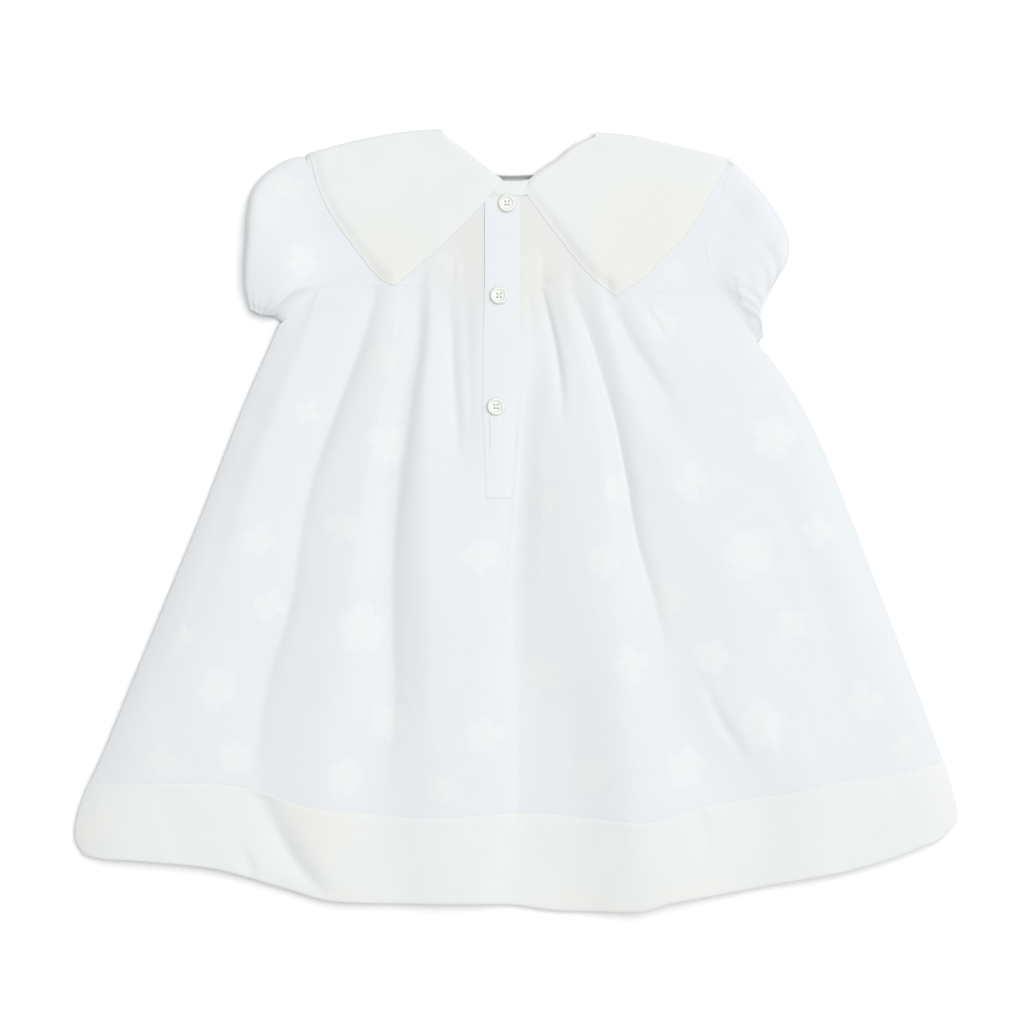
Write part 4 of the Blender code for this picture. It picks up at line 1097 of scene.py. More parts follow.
for side, (label, edges) in enumerate((("left", COLLAR_LEFT), ("right", COLLAR_RIGHT))):
    face = collar_face(edges, side)
    crisp_poplin, crisp_tint = woven_material(
        f"cotton_poplin_collar_{label}", (COLLAR_COLOUR, COLLAR_SHADE, COLLAR_DRIFT), POPLIN_WEAVE,
    )
    cream, cream_at, cream_reach = COLLAR_CREAM[side]
    cream_and_shade_round(crisp_poplin, crisp_tint, cream, cream_at, CREAM_INNER, cream_reach)
    # Its normals point up on the back, out round the fold and down in front.
    collar = cloth_sheet(
        f"collar_{label}", "poplin", face, COLLAR_WALL, crisp_poplin,
        normals=sheet_normals(face, COLLAR_BACK_ROWS // 2),
    )

# --------------------------------------------------------------------------------------------------
# Sleeves. Short puffs of voile, sewn round the armhole and drawn in at the hem by a narrow
# elastic, which a zigzag stitch holds. They lie flattened, with creases that fan from the hem.

# Of each sleeve: its outlines, the puff's height along it, how far the elastic lies from the hem,
# the depth of the groove that it draws, and the height of the ruffles round it.
SLEEVES = {
    "left": {
        "armhole": ARMHOLE_LEFT,
        "outer": (
            (-120.9, 209.4), (-127.5, 208.8), (-136.0, 204.9), (-145.8, 198.0), (-151.8, 190.0),
            (-154.6, 179.7), (-155.6, 163.6), (-155.6, 129.2), (-153.6, 121.5),
        ),
        "hem": ((-153.6, 121.5), (-145.8, 117.9), (-139.0, 117.0)),
        "inner": ((-134.8, 114.2), (-139.0, 117.0)),
        "puff": ((0.0, 8.0), (0.3, 11.5), (0.55, 13.0), (0.8, 11.5), (0.93, 9.0), (1.0, 6.6)),
        "elastic": 3.0,
        "groove": 0.25,
        "ruffle": 0.2,
        # creases: place across and along the sleeve, its two widths and its depth
        "creases": (
            (0.24, 0.20, 0.05, 0.14, 0.5), (0.38, 0.16, 0.05, 0.12, 0.4),
            (0.52, 0.88, 0.05, 0.20, 0.4), (0.72, 0.84, 0.05, 0.25, 0.5),
            (0.62, 0.45, 0.10, 0.20, 0.6), (0.84, 0.40, 0.07, 0.30, 0.5),
        ),
    },
    "right": {
        "armhole": ARMHOLE_RIGHT,
        "outer": (
            (125.1, 205.9), (135.5, 195.8), (149.8, 177.2), (156.5, 163.0), (157.3, 153.8),
            (153.3, 143.5), (144.6, 135.5),
        ),
        "hem": ((144.6, 135.5), (139.3, 119.0), (142.2, 105.5)),
        "inner": ((139.1, 103.2), (142.2, 105.5)),
        "puff": ((0.0, 7.4), (0.3, 8.7), (0.55, 8.8), (0.75, 8.1), (0.9, 7.3), (1.0, 6.3)),
        "elastic": 14.0,
        "groove": 0.2,
        "ruffle": 0.35,
        "creases": (
            (0.20, 0.20, 0.05, 0.14, 0.4), (0.34, 0.14, 0.05, 0.12, 0.3),
            (0.22, 0.62, 0.05, 0.20, 0.7), (0.34, 0.66, 0.04, 0.16, 0.7),
            (0.60, 0.60, 0.05, 0.20, 0.4), (0.48, 0.50, 0.03, 0.14, 0.4),
        ),
    },
}
SLEEVE_ROWS = 110
SLEEVE_ACROSS = 72
SLEEVE_FOLD_HEIGHT = 1.6
SLEEVE_LOWEST = 3.0
SLEEVE_SHOULDER = 0.42
SLEEVE_FULL_LENGTH = 46.0
SLEEVE_FULLNESS = 12.0
SLEEVE_SEAM_FULLNESS = 30.0
SLEEVE_RUFFLES = 6.5
SLEEVE_RUFFLE_REACH = 9.0
SLEEVE_GROOVE_WIDTH = 1.6
# Ruffles are a little closer together on one side than on the other.
SLEEVE_RUFFLE_DRIFT = (0.03, 9.0)
SLEEVE_WAVES = ((14.0, 14.0, 0.25, 23),)
SLEEVE_ON_TABLE = 0.05
# Ruffles, waves and the tube's own section each set in over 1 / rate of the sleeve from its seam.
SLEEVE_RUFFLE_RATE = 3
SLEEVE_WAVE_RATE = 5
SLEEVE_SECTION_RATE = 6
# The least z of a normal on the sleeve's upper side, and of one on its lower side downwards.
SLEEVE_NORMAL_Z = 0.1


def armhole_line(points, count):
    """The armhole from the shoulder to the underarm, and how far along it the yoke's corner is. One
    of its points is that corner. Below the yoke it follows the skirt's edge."""
    corner = yoke_share(points)
    where = np.linspace(0, 1, count)
    at = int(round(corner * (count - 1)))
    where[at] = corner
    line = curve(points, where)
    line[at:, 1] = along_x(SKIRT_TOP, line[at:, 0])
    return line, at / (count - 1)


def sleeve_face(shape):
    """Rings of a flattened tube, from the armhole to the hem: over the top and back underneath. The
    height over the plan is the puff's profile along the sleeve, times a superellipse across it.
    Where the sleeve is short, near the underarm, it keeps the armhole's height."""
    rows = np.linspace(0, 1, SLEEVE_ROWS + 1)
    armhole, corner = armhole_line(shape["armhole"], EDGE_POINTS)
    armhole[0] = shape["outer"][0]
    plan = coons(
        armhole, curve(shape["hem"], EDGE_POINTS), curve(shape["outer"], rows),
        curve([armhole[-1], *shape["inner"][1:]], rows),
    )
    across = (1 - np.cos(np.linspace(0, math.pi, SLEEVE_ACROSS + 1))) / 2
    across[abs(across - corner).argmin()] = corner
    row = rows[:, None]
    flat = picked(plan, across[None])
    x = flat[..., 0]
    y = flat[..., 1]
    length = np.linalg.norm(np.diff(flat, axis=0), axis=-1).sum(axis=0)
    blend = smooth_step(row / SLEEVE_SHOULDER) * smooth_step(length / SLEEVE_FULL_LENGTH)[None]
    top = (1 - blend) * back_face_height(x[:1], y[:1]) + blend * along_x(shape["puff"], row)
    beyond = (1 - row) * length[None] - shape["elastic"]
    off_seam = smooth_step(SLEEVE_RUFFLE_RATE * row)
    ruffle = shape["ruffle"] * (bell(beyond, SLEEVE_RUFFLE_REACH) * off_seam)
    drift, pace = SLEEVE_RUFFLE_DRIFT
    turns = SLEEVE_RUFFLES * (across + drift * np.sin(pace * across))
    top = top + ruffle * np.cos(2 * math.pi * turns)
    top = top - shape["groove"] * bell(beyond, SLEEVE_GROOVE_WIDTH) * off_seam
    for place, along, width, reach, depth in shape["creases"]:
        away = ((across - place) / width) ** 2 + ((row - along) / reach) ** 2
        top = top - depth * np.exp(-away)
    wave = waves(x, y, SLEEVE_WAVES) * smooth_step(SLEEVE_WAVE_RATE * row)
    top = np.maximum(top + wave, SLEEVE_LOWEST)
    seam_share = 1 - smooth_step(SLEEVE_SECTION_RATE * row)
    power = SLEEVE_FULLNESS + (SLEEVE_SEAM_FULLNESS - SLEEVE_FULLNESS) * seam_share
    full = (1 - abs(1 - 2 * across) ** power) ** 0.5
    over = at_height(flat, SLEEVE_FOLD_HEIGHT + (top - SLEEVE_FOLD_HEIGHT) * full)
    under = at_height(flat, SLEEVE_FOLD_HEIGHT - (SLEEVE_FOLD_HEIGHT - SLEEVE_ON_TABLE) * full)
    return np.concatenate([over, under[:, -2:0:-1]], axis=1)


def tube_normals(face):
    """Outward normals of rings of points that close on themselves: never down on the upper side,
    and never up on the lower one."""
    along = np.gradient(face, axis=0)
    around = np.roll(face, -1, axis=1) - np.roll(face, 1, axis=1)
    normal = np.cross(around, along)
    if (normal * (face - face.mean(axis=1, keepdims=True))).sum() < 0:
        normal = -normal
    normal = unit(normal + 1e-9)
    upper = normal[:, : SLEEVE_ACROSS + 1, 2]
    lower = normal[:, SLEEVE_ACROSS + 1 :, 2]
    np.maximum(upper, SLEEVE_NORMAL_Z, out=upper)
    np.minimum(lower, -SLEEVE_NORMAL_Z, out=lower)
    return unit(normal)


sleeve_faces = {side: sleeve_face(shape) for side, shape in SLEEVES.items()}
sleeves = {
    side: cloth_sheet(
        f"sleeve_{side}", "voile", face, VOILE_WALL, voile, ring=True, normals=tube_normals(face),
    )
    for side, face in sleeve_faces.items()
}

# --------------------------------------------------------------------------------------------------
# Placket. A folded strip of voile that laps over the opening, from the neck to a third of the way
# down the skirt, where a bar of stitches ends it. It is stitched down along both edges.

PLACKET_TOP = 185.6
PLACKET_END = 12.5
# How far its face stands over the back: along its left edge near the top, and elsewhere.
PLACKET_LEFT_RISE = 0.45
PLACKET_RISE = 0.16
PLACKET_LIFTED = (150.0, 80.0)
PLACKET_TOP_FADE = 6.0
PLACKET_WALL = 0.30
PLACKET_COLOUR = (0.718, 0.742, 0.758)
PLACKET_SHADE = (0.697, 0.720, 0.736)
PLACKET_ROWS = 150
PLACKET_COLUMNS = 26


def placket_edges(y):
    """x of the placket's left and right edges at y."""
    xs, _ = fold_nodes(np.minimum(y, STATIONS[0]))
    names = ["left_side", "left_roll", *(row[0] for row in FOLDS)]
    return xs[names.index("placket_left")], xs[names.index("placket_right")]


def placket_height(x, y):
    """Height of the placket's face: the back's own with a small rise, which is larger along the
    left edge near the top."""
    left, right = placket_edges(y)
    across = smooth_step((x - left) / (right - left))
    high, low = PLACKET_LIFTED
    along = smooth_step((y - low) / (high - low))
    along = along * smooth_step((PLACKET_TOP - y) / PLACKET_TOP_FADE)
    rise = PLACKET_RISE + (PLACKET_LEFT_RISE - PLACKET_RISE) * (1 - across) * along
    return back_face_height(x, y) + rise


rows = np.linspace(PLACKET_TOP, PLACKET_END, PLACKET_ROWS + 1)
left, right = placket_edges(rows)
across = eased(PLACKET_COLUMNS + 1, CELL_CROWDING)
x = left[:, None] + (right - left)[:, None] * across
plan = np.stack([x, np.broadcast_to(rows[:, None], x.shape)], axis=-1)
doubled_voile, _ = woven_material(
    "cotton_voile_doubled", (PLACKET_COLOUR, PLACKET_SHADE, PLACKET_COLOUR), VOILE_WEAVE,
)
placket = cloth_sheet(
    "placket", "voile", raised(plan, placket_height), PLACKET_WALL, doubled_voile,
)

# --------------------------------------------------------------------------------------------------
# Buttons. Three small shell buttons with a rounded rim, a dished face and four holes, sewn on with
# a cross of white thread. Each lies on the placket and is tilted with it.

BUTTON_POSITIONS = (("top", -5.2, 181.6), ("middle", -9.8, 128.6), ("bottom", -11.5, 64.9))
BUTTON_PROFILE = (
    # radius, height
    (0.0, 0.0), (3.6, 0.0), (4.4, 0.15), (4.85, 0.5), (5.0, 1.0), (4.9, 1.5), (4.6, 1.85),
    (4.2, 2.0), (3.8, 1.95), (3.5, 1.75), (3.2, 1.5), (2.6, 1.38), (1.6, 1.32), (0.0, 1.30),
)
BUTTON_SEGMENTS = 56
BUTTON_HOLE_RADIUS = 0.5
BUTTON_HOLE_OFFSET = 1.3
PIN_SEGMENTS = 20
PIN_ENDS = (-1, 4)
BUTTON_SEAT_REACH = 4.0
BUTTON_SEAT_GAP = 0.05
THREAD_RADIUS = 0.22
TUBE_SIDES = 8
# A strand of the cross: its level on the face, its arch, the second pair's rise over the first, and
# the share of its length after which it dives into the holes, and how deep.
STRAND_POINTS = 17
STRAND_LEVEL = 1.30
STRAND_ARCH = 0.30
STRAND_CROSSING = 0.12
STRAND_DIVE_FROM = 0.86
STRAND_DIVE = 1.1
SHELL_COLOUR = (0.760, 0.775, 0.735)
SHELL_SHADE = (0.705, 0.718, 0.665)
THREAD_COLOUR = (0.78, 0.785, 0.76)


def shell_material():
    """Polished shell: layered bands and clouds in warm grey and cream, with a clear gloss."""
    made = flat_material(
        "button_shell", SHELL_COLOUR, 0.28, Coat_Weight=0.4, Coat_Roughness=0.12,
    )
    stretch = add_node(
        made, "Mapping", Vector=object_place(made), Scale=(180.0, 420.0, 300.0),
        Rotation=(0.0, 0.0, 0.6),
    )
    clouds = noise_at(
        made, stretch.outputs["Vector"], Scale=1.0, Detail=4.0, Roughness=0.6, Distortion=1.2,
    )
    tint = mixed(made, SHELL_SHADE, SHELL_COLOUR, share_of(made, clouds, 0.35, 0.60, way="LINEAR"))
    feed(shader_of(made), Base_Color=tint)
    return made


def thread_material():
    """Twisted sewing thread: fine diagonal bands on Object coordinates, in the bump."""
    made = flat_material("sewing_thread", THREAD_COLOUR, 0.6, Sheen_Weight=0.15)
    twist = add_node(
        made, "TexWave", Vector=object_place(made), Scale=900.0, Distortion=0.6,
        bands_direction="DIAGONAL",
    )
    feed(shader_of(made), Normal=bumped(made, twist.outputs["Fac"], 0.00003))
    return made


def turned(profile, segments):
    """Points and faces of a profile turned about Z: its first and last points are on the axis."""
    profile = np.asarray(profile, float)
    angle = np.linspace(0, 2 * math.pi, segments, endpoint=False)
    ring = np.stack([np.cos(angle), np.sin(angle)], axis=1)
    middle = profile[1:-1]
    points = at_height(middle[:, None, :1] * ring[None], middle[:, 1:]).reshape(-1, 3)
    points = np.concatenate([points, [(0, 0, profile[0, 1]), (0, 0, profile[-1, 1])]])
    count = len(middle)
    low_pole = count * segments
    top = low_pole - segments
    faces = []
    for k in range(segments):
        nxt = (k + 1) % segments
        faces.append((low_pole, nxt, k))
        faces.append((low_pole + 1, top + k, top + nxt))
        for low in range(0, top, segments):
            faces.append((low + k, low + nxt, low + segments + nxt, low + segments + k))
    return points, faces


def drilled_button(finish):
    """Button mesh with its four thread holes cut through by pins."""
    points, faces = turned(BUTTON_PROFILE, BUTTON_SEGMENTS)
    mesh = bpy.data.meshes.new("button_blank")
    mesh.from_pydata(points.tolist(), [], faces)
    mesh.shade_smooth()
    mesh.materials.append(finish)
    blank = linked("button_blank", mesh)
    low, high = PIN_ENDS
    profile = ((0, low), (BUTTON_HOLE_RADIUS, low), (BUTTON_HOLE_RADIUS, high), (0, high))
    pin, sides = turned(profile, PIN_SEGMENTS)
    pin_points = []
    pin_faces = []
    for turn in range(4):
        out = math.pi / 4 + turn * math.pi / 2
        place = (BUTTON_HOLE_OFFSET * math.cos(out), BUTTON_HOLE_OFFSET * math.sin(out), 0)
        pin_points.append(pin + place)
        pin_faces += [tuple(turn * len(pin) + i for i in face) for face in sides]
    pins_mesh = bpy.data.meshes.new("pins")
    pins_mesh.from_pydata(np.concatenate(pin_points).tolist(), [], pin_faces)
    pins = linked("pins", pins_mesh)
    cut = blank.modifiers.new("holes", "BOOLEAN")
    cut.operation = "DIFFERENCE"
    cut.object = pins
    bpy.context.view_layer.update()
    depsgraph = bpy.context.evaluated_depsgraph_get()
    made = bpy.data.meshes.new_from_object(blank.evaluated_get(depsgraph))
    bpy.data.objects.remove(blank)
    bpy.data.objects.remove(pins)
    return made


def tube_along(path, radius, sides=TUBE_SIDES):
    """Points and quads of a round tube along a path of points: a ring in the plane square to the
    path at each point. Its ends are closed by strips from one side of the ring to the other."""
    ahead = unit(np.gradient(path, axis=0))
    side = unit(np.cross(ahead, (0.13, 0.29, 1.0)))
    up = np.cross(side, ahead)
    angle = np.linspace(0, 2 * math.pi, sides, endpoint=False)
    ring = np.cos(angle)[:, None, None] * side + np.sin(angle)[:, None, None] * up
    points = (path + radius * ring).transpose(1, 0, 2).reshape(-1, 3)
    first = np.arange(len(path) - 1)[:, None] * sides
    a = first + np.arange(sides)
    b = first + (np.arange(sides) + 1) % sides
    quads = np.stack([a + sides, b + sides, b, a], axis=-1).reshape(-1, 4)
    k = np.arange(sides // 2 - 1)
    cap = np.stack([k, k + 1, sides - 2 - k, sides - 1 - k], axis=-1)
    return points, np.concatenate([quads, cap, cap[:, ::-1] + (len(path) - 1) * sides])


def joined(parts):
    """One set of points and quads from several."""
    start = 0
    points = []
    quads = []
    for part_points, part_quads in parts:
        points.append(part_points)
        quads.append(part_quads + start)
        start += len(part_points)
    return np.concatenate(points), np.concatenate(quads)


def button_thread():
    """Cross of thread on the button's face: two strands between each pair of opposite holes. A
    strand is nearly level, as 1 - t^6, and dives in a straight line at its ends."""
    t = np.linspace(-1, 1, STRAND_POINTS)
    dive = np.clip(abs(t) - STRAND_DIVE_FROM, 0, 1) / (1 - STRAND_DIVE_FROM)
    out = BUTTON_HOLE_OFFSET * t
    parts = []
    for turn, over in ((math.pi / 4, 0.0), (3 * math.pi / 4, STRAND_CROSSING)):
        level = STRAND_LEVEL + STRAND_ARCH * (1 - t**6) - STRAND_DIVE * dive + over
        for shift in (-THREAD_RADIUS, THREAD_RADIUS):
            x = out * math.cos(turn) - shift * math.sin(turn)
            y = out * math.sin(turn) + shift * math.cos(turn)
            parts.append(tube_along(np.stack([x, y, level], axis=1), THREAD_RADIUS))
    return joined(parts)


shell = shell_material()
thread = thread_material()
drilled = drilled_button(shell)
drilled_points = np.empty(len(drilled.vertices) * 3)
drilled.vertices.foreach_get("co", drilled_points)
drilled_points = drilled_points.reshape(-1, 3)
cross_points, cross_quads = button_thread()
for label, x, y in BUTTON_POSITIONS:
    reach = BUTTON_SEAT_REACH
    west, east = placket_height(np.array([x - reach, x + reach]), np.array([y, y]))
    south, north = placket_height(np.array([x, x]), np.array([y - reach, y + reach]))
    slope_x = math.atan2(east - west, 2 * reach)
    slope_y = math.atan2(north - south, 2 * reach)
    lean_x = np.array([[math.cos(slope_x), 0, -math.sin(slope_x)], [0, 1, 0],
                       [math.sin(slope_x), 0, math.cos(slope_x)]])
    lean_y = np.array([[1, 0, 0], [0, math.cos(slope_y), -math.sin(slope_y)],
                       [0, math.sin(slope_y), math.cos(slope_y)]])
    turn = lean_x @ lean_y
    seat = (x, y, float(placket_height(np.array([x]), np.array([y]))[0]) + BUTTON_SEAT_GAP)
    mesh = drilled.copy()
    mesh.vertices.foreach_set("co", ((drilled_points @ turn.T + seat) * MM).ravel())
    dress(linked(f"button_{label}_shell", mesh), f"button_{label}")
    strands = put_mesh(f"button_{label}_thread", cross_points @ turn.T + seat, cross_quads, thread)
    dress(strands)

# --------------------------------------------------------------------------------------------------
# Stitching. Rows of white cotton thread hold the placket and the hem band, and a bar of stitches
# ends the placket. A close zigzag edges a buttonhole, and a wide one holds the right elastic.

STITCH_LENGTH = 2.1
STITCH_GAP = 0.8
STITCH_RADIUS = 0.09
STITCH_RISE = 0.03
STITCH_DIP = 0.22
STITCH_SIDES = 6
STITCH_START = 0.5
STITCH_POINTS = 5
# Points at which a row is walked, and by which the rows on the placket and the band are given.
ROW_POINTS = 600
PLACKET_ROW_POINTS = 40
BAND_ROW_POINTS = 60
PLACKET_INSET = 1.3
PLACKET_ROW_TOP = 8.0
PLACKET_ROW_END = 1.2
BAR_INSET = 1.0
BAR_UP = 1.4
HEM_ROW_INSET = 5.0
BAND_ROW_SPAN = (-236, 236)
SEAM_ROW_INSET = 1.2
ZIGZAG_LINE = ((126.0, 139.0), (126.8, 135.0), (127.8, 130.5), (129.6, 125.5))
ZIGZAG_WIDTH = 1.3
ZIGZAG_POINTS = 11
ZIGZAG_STEPS = 4
ZIGZAG_RADIUS = 0.16
ZIGZAG_BLUR = 0.5
BUTTONHOLE = ((-14.9, 59.0), (-14.6, 41.0))
BUTTONHOLE_WIDTH = 0.5
BUTTONHOLE_POINTS = 24


def stitch_row(line, height):
    """Tubes for one row of stitches along the smooth curve through plan points: each is an arch
    that dips into the cloth at both ends, as (2 t - 1)^4."""
    fine = curve(line, ROW_POINTS)
    gone = walked(np.hypot(*np.diff(fine, axis=0).T))
    t = np.linspace(0, 1, STITCH_POINTS)
    arch = STITCH_RISE - STITCH_DIP * (2 * t - 1) ** 4
    parts = []
    for start in np.arange(STITCH_START, gone[-1] - STITCH_LENGTH, STITCH_LENGTH + STITCH_GAP):
        at = start + STITCH_LENGTH * t
        plan = np.stack([np.interp(at, gone, fine[:, k]) for k in range(2)], axis=-1)
        parts.append(tube_along(raised(plan, height, arch), STITCH_RADIUS, STITCH_SIDES))
    return parts


def zigzag(line, height, width, points):
    """One tube that swings from side to side of a plan line, in ZIGZAG_STEPS from one point to the
    next."""
    fine = curve(line, ZIGZAG_STEPS * points + 1)
    across = unit(np.gradient(fine, axis=0))[:, ::-1] * (1, -1)
    swing = 2 * abs((np.arange(len(fine)) / ZIGZAG_STEPS) % 2 - 1) - 1
    path = raised(fine + width * swing[:, None] * across, height, ZIGZAG_RADIUS)
    return [tube_along(path, ZIGZAG_RADIUS, STITCH_SIDES)]


def sleeve_height(side, blur):
    """Height of a sleeve's upper side at plan points, as a function of x and y: the mean of its own
    points, each weighted by a bell of its distance in plan."""
    upper = sleeve_faces[side][:, : SLEEVE_ACROSS + 1].reshape(-1, 3)

    def height(x, y):
        level = []
        for xs, ys in zip(np.atleast_2d(x), np.atleast_2d(y)):
            away = (xs[:, None] - upper[:, 0]) ** 2 + (ys[:, None] - upper[:, 1]) ** 2
            weight = np.exp(-away / (2 * blur**2)) + 1e-12
            level.append((weight * upper[:, 2]).sum(axis=1) / weight.sum(axis=1))
        return np.reshape(level, x.shape)

    return height


def row_beside(edge, inset, span):
    """Plan points of a row at a fixed distance below or above an edge line over x."""
    x = np.linspace(*span, BAND_ROW_POINTS)
    return np.stack([x, along_x(edge, x) + inset], axis=-1)


placket_y = np.linspace(
    PLACKET_TOP - PLACKET_ROW_TOP, PLACKET_END + PLACKET_ROW_END, PLACKET_ROW_POINTS,
)
left, right = placket_edges(placket_y)
bar_y = PLACKET_END + BAR_UP
bar_left, bar_right = placket_edges(np.array([bar_y]))
bar = ((bar_left[0] + BAR_INSET, bar_y), (bar_right[0] - BAR_INSET, bar_y))
stitched = {
    "placket_stitches": (
        stitch_row(np.stack([left + PLACKET_INSET, placket_y], axis=-1), placket_height)
        + stitch_row(np.stack([right - PLACKET_INSET, placket_y], axis=-1), placket_height)
        + stitch_row(bar, placket_height)
        + zigzag(BUTTONHOLE, placket_height, BUTTONHOLE_WIDTH, BUTTONHOLE_POINTS)
    ),
    "hem_band_stitches": (
        stitch_row(row_beside(HEM, HEM_ROW_INSET, BAND_ROW_SPAN), band_height)
        + stitch_row(row_beside(BAND_SEAM, -SEAM_ROW_INSET, BAND_ROW_SPAN), band_height)
    ),
    "sleeve_right_zigzag": zigzag(
        ZIGZAG_LINE, sleeve_height("right", ZIGZAG_BLUR), ZIGZAG_WIDTH, ZIGZAG_POINTS,
    ),
}
for name, parts in stitched.items():
    dress(put_mesh(name, *joined(parts), thread))

# --------------------------------------------------------------------------------------------------
# Flowers. The voile is scattered with tone-on-tone flowers whose round petals are woven as denser,
# slightly raised patches, with a knot of pale green-yellow thread in the middle of each.

SKIRT_FLOWERS = (
    # x, y, radius, turn in degrees, petals, 1 for a greenish one
    (-78, 92, 12, 10, 5, 1), (-73, 44, 17, 50, 4, 0), (-149, -12, 12, 0, 5, 0),
    (-100, -4, 13, 30, 5, 0), (-141, -49, 12, 70, 4, 0), (-88, -62, 17, 15, 5, 0),
    (-171, -97, 15, 40, 5, 0), (-203, -137, 12, 0, 4, 1), (-161, -136, 13, 20, 5, 0),
    (-71, -116, 16, 60, 5, 0), (-98, -148, 13, 5, 5, 0), (-44, -154, 12, 33, 4, 1),
    (-20, -21, 13, 45, 5, 0), (-18, -124, 14, 12, 5, 0), (18, 10, 14, 80, 4, 1),
    (16, -87, 14, 25, 4, 1), (49, -24, 12, 0, 5, 0), (43, -145, 15, 50, 5, 1),
    (66, -82, 13, 15, 4, 0), (59, 18, 12, 66, 5, 0), (100, 21, 13, 10, 4, 0),
    (88, -46, 12, 35, 5, 1), (98, -142, 15, 20, 5, 0), (147, 47, 15, 5, 5, 0),
    (133, -19, 18, 40, 5, 0), (172, -6, 12, 0, 4, 0), (158, -60, 12, 55, 4, 0),
    (112, -78, 13, 75, 5, 0), (141, -118, 18, 30, 5, 0), (199, -103, 14, 12, 4, 0),
    (222, -130, 9, 48, 5, 1), (-190, -66, 9, 22, 4, 0), (83, 112, 12, 15, 5, 0),
    (-120, 62, 10, 60, 4, 0),
)
YOKE_FLOWERS = ((10, 146, 10, 20, 5, 0), (-38, 148, 9, 60, 4, 0), (90, 143, 8, 10, 5, 0))
SLEEVE_FLOWERS = ((-130.0, 191.0, 11.0, 20.0, 4, 1), (-123.0, 148.0, 12.0, 50.0, 5, 0))
PETAL_AROUND = 90
PETAL_RINGS = 11
PETAL_CENTRE = 0.56
PETAL_RADIUS = 0.42
PETAL_NOTCH = 0.40
# The first ring's share of the way out, and how far petals vary in place, size and turn.
PETAL_INNER = 0.02
PETAL_CENTRES = (0.86, 1.12)
PETAL_SIZES = (0.86, 1.14)
PETAL_TURNS = (-0.12, 0.12)
PETAL_SEED = 5
PETAL_RISE = 0.15
PETAL_SINK = 0.08
EYE_RADIUS = 0.24
EYE_RISE = 0.10
SLEEVE_BLUR = 0.9
PETAL_COLOUR = (0.738, 0.759, 0.778)
PETAL_SHADE = (0.704, 0.728, 0.750)
PETAL_GREEN = (0.704, 0.732, 0.716)
PETAL_EDGE = 0.45
FLOWER_SCALE = 1.18
# Painted shade of the petals round the neck.
PETAL_NECK_SHADE = (0.702, 0.711, 0.696)
EYE_COLOUR = (0.716, 0.744, 0.716)


def petal_material():
    """Dense satin patch. Its UV is polar: v runs from the eye at 0 to the petal's edge at 1 and u
    goes round, from 0 to 1 or, on a greenish flower, from 1 to 2. Threads run outwards, and the
    colour turns pale green towards the eye and into the voile's own towards the rim."""
    made = flat_material(
        "woven_petal", PETAL_COLOUR, 0.6, Sheen_Weight=0.08, Specular_IOR_Level=0.3,
    )
    uv = add_node(made, "UVMap", uv_map="cloth").outputs["UV"]
    split = add_node(made, "SeparateXYZ", Vector=uv)
    stretch = add_node(made, "Mapping", Vector=uv, Scale=(110.0, 5.0, 1.0))
    strands = noise_at(made, stretch.outputs["Vector"], Scale=1.0, Detail=3.0, Roughness=0.6)
    tint = mixed(made, PETAL_SHADE, PETAL_COLOUR, share_of(made, strands, 0.35, 0.62, way="LINEAR"))
    tint = mixed(made, tint, EYE_COLOUR, share_of(made, split.outputs["Y"], 0.60, 0.12, 0.70))
    greenish = share_of(made, split.outputs["X"], 0.995, 1.0, 0.75)
    tint = mixed(made, tint, PETAL_GREEN, greenish)
    tint = mixed(made, tint, VOILE_SHADE, share_of(made, split.outputs["Y"], PETAL_EDGE, 1.0))
    grain = noise_at(made, object_place(made), Scale=1400.0, Detail=2.0, Roughness=0.6)
    feed(shader_of(made), Normal=bumped(made, grain, 0.00012))
    # Petals round the neck get the same painted shade as the voile.
    cream_and_shade_round(made, tint, PETAL_NECK_SHADE, NECK_SHADE_CENTRE, NECK_SHADE_INNER, NECK_SHADE_OUTER)
    return made


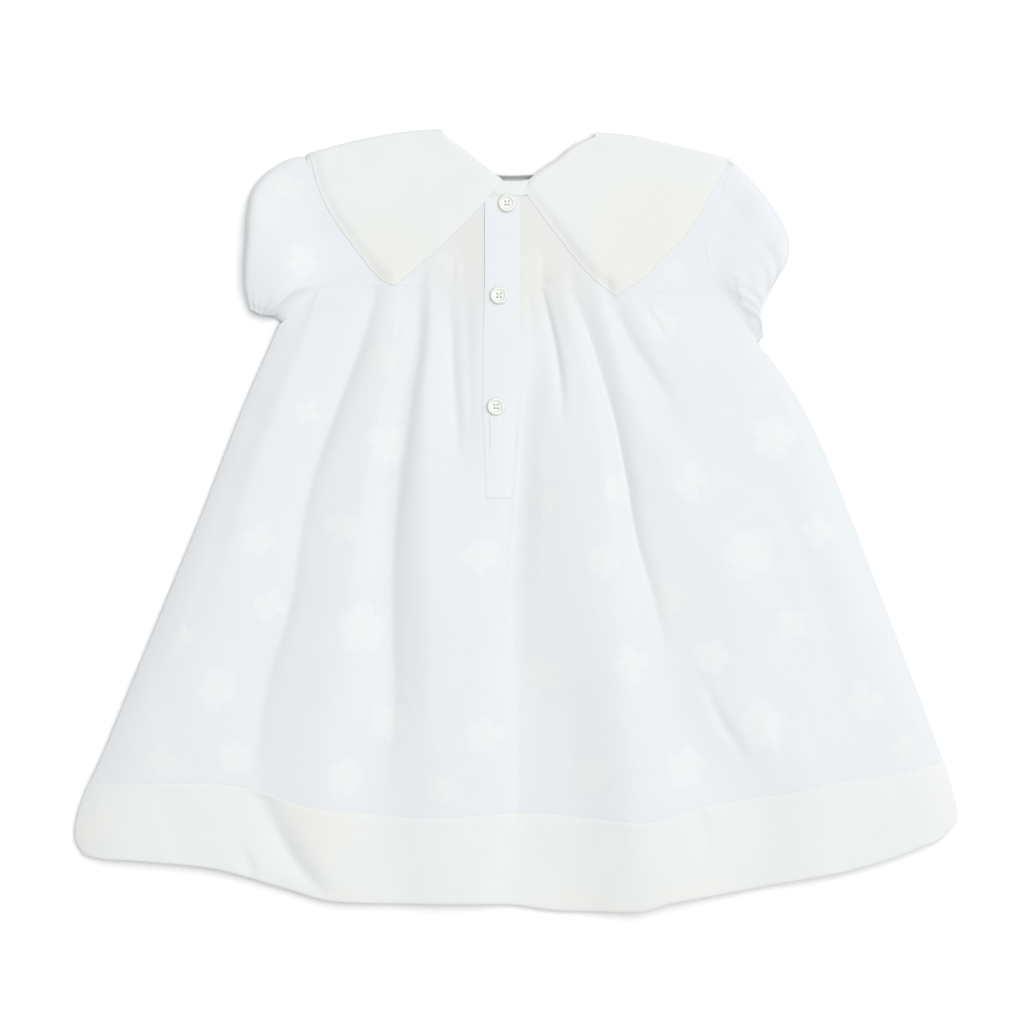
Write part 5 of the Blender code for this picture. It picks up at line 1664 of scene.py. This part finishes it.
def flower_shape(radius, turn, petals, chance):
    """Flower as polar rings: plan offsets, rise above the cloth, and polar UV. The outline is the
    union of one circle per petal, r = d cos a + sqrt(R^2 - d^2 sin^2 a), with a the angle from the
    petal's axis. Petals differ a little in place and size. The rise is a dome, lower between
    petals, and its rim sinks into the cloth."""
    angle = np.linspace(0, 2 * math.pi, PETAL_AROUND, endpoint=False)
    away = PETAL_CENTRE * chance.uniform(*PETAL_CENTRES, (petals, 1))
    size = PETAL_RADIUS * chance.uniform(*PETAL_SIZES, (petals, 1))
    axis = (np.arange(petals) + chance.uniform(*PETAL_TURNS, petals)) * 2 * math.pi / petals
    off = (angle - axis[:, None] + math.pi) % (2 * math.pi) - math.pi
    inside = size**2 - (away * np.sin(off)) ** 2
    hit = (inside > 0) & (np.cos(off) > 0)
    reach = np.where(hit, away * np.cos(off) + np.sqrt(np.maximum(inside, 0)), 0).max(axis=0)
    reach = np.maximum(reach, PETAL_NOTCH)
    share = np.linspace(PETAL_INNER, 1, PETAL_RINGS)[:, None]
    out = radius * share * reach
    where = angle + math.radians(turn)
    plan = np.stack([out * np.cos(where), out * np.sin(where)], axis=-1)
    notch = 1 - reach / reach.max()
    dome = (1 - share**5) * (1 - notch * share)
    rise = PETAL_RISE * dome + EYE_RISE * bell(share, EYE_RADIUS) - PETAL_SINK
    uv = np.stack([(angle / (2 * math.pi))[None] + 0 * share, share + 0 * angle], axis=-1)
    return plan, rise, uv


def flower_mesh(name, flowers):
    """One object from (points, uv) of each flower: polar grids, each closed by a fan of quads round
    a centre point."""
    rings, around = PETAL_RINGS, PETAL_AROUND
    ring = np.arange(rings * around).reshape(rings, around)
    nxt = np.roll(ring, -1, axis=1)
    quads = np.stack([ring[:-1], ring[1:], nxt[1:], nxt[:-1]], axis=-1).reshape(-1, 4)
    start = np.arange(0, around, 2)
    fan = np.stack([0 * start + rings * around, start, start + 1, (start + 2) % around], axis=-1)
    quads = np.concatenate([quads, fan])
    points = []
    uvs = []
    for flower, uv in flowers:
        points += [flower.reshape(-1, 3), flower[:1].mean(axis=1)]
        uvs += [uv.reshape(-1, 2), uv[:1].mean(axis=1)]
    faces = np.concatenate([quads + k * (rings * around + 1) for k in range(len(flowers))])
    return put_mesh(name, np.concatenate(points), faces, petal, np.concatenate(uvs))


def laid_flowers(rows, height):
    """Flowers on cloth that is a height over the plan, with the polar UV of each."""
    chance = np.random.default_rng(PETAL_SEED)
    made = []
    for x, y, radius, turn, petals, greenish in rows:
        plan, rise, uv = flower_shape(FLOWER_SCALE * radius, turn, petals, chance)
        made.append((raised(plan + (x, y), height, rise), uv + (greenish, 0)))
    return made


petal = petal_material()
skirt_flowers = flower_mesh("skirt_flowers", laid_flowers(SKIRT_FLOWERS, skirt_height))
yoke_flowers = flower_mesh("yoke_flowers", laid_flowers(YOKE_FLOWERS, yoke_height))
sleeve_flowers = flower_mesh(
    "sleeve_left_flowers", laid_flowers(SLEEVE_FLOWERS, sleeve_height("left", SLEEVE_BLUR)),
)
for flowers in (skirt_flowers, yoke_flowers, sleeve_flowers):
    dress(flowers)
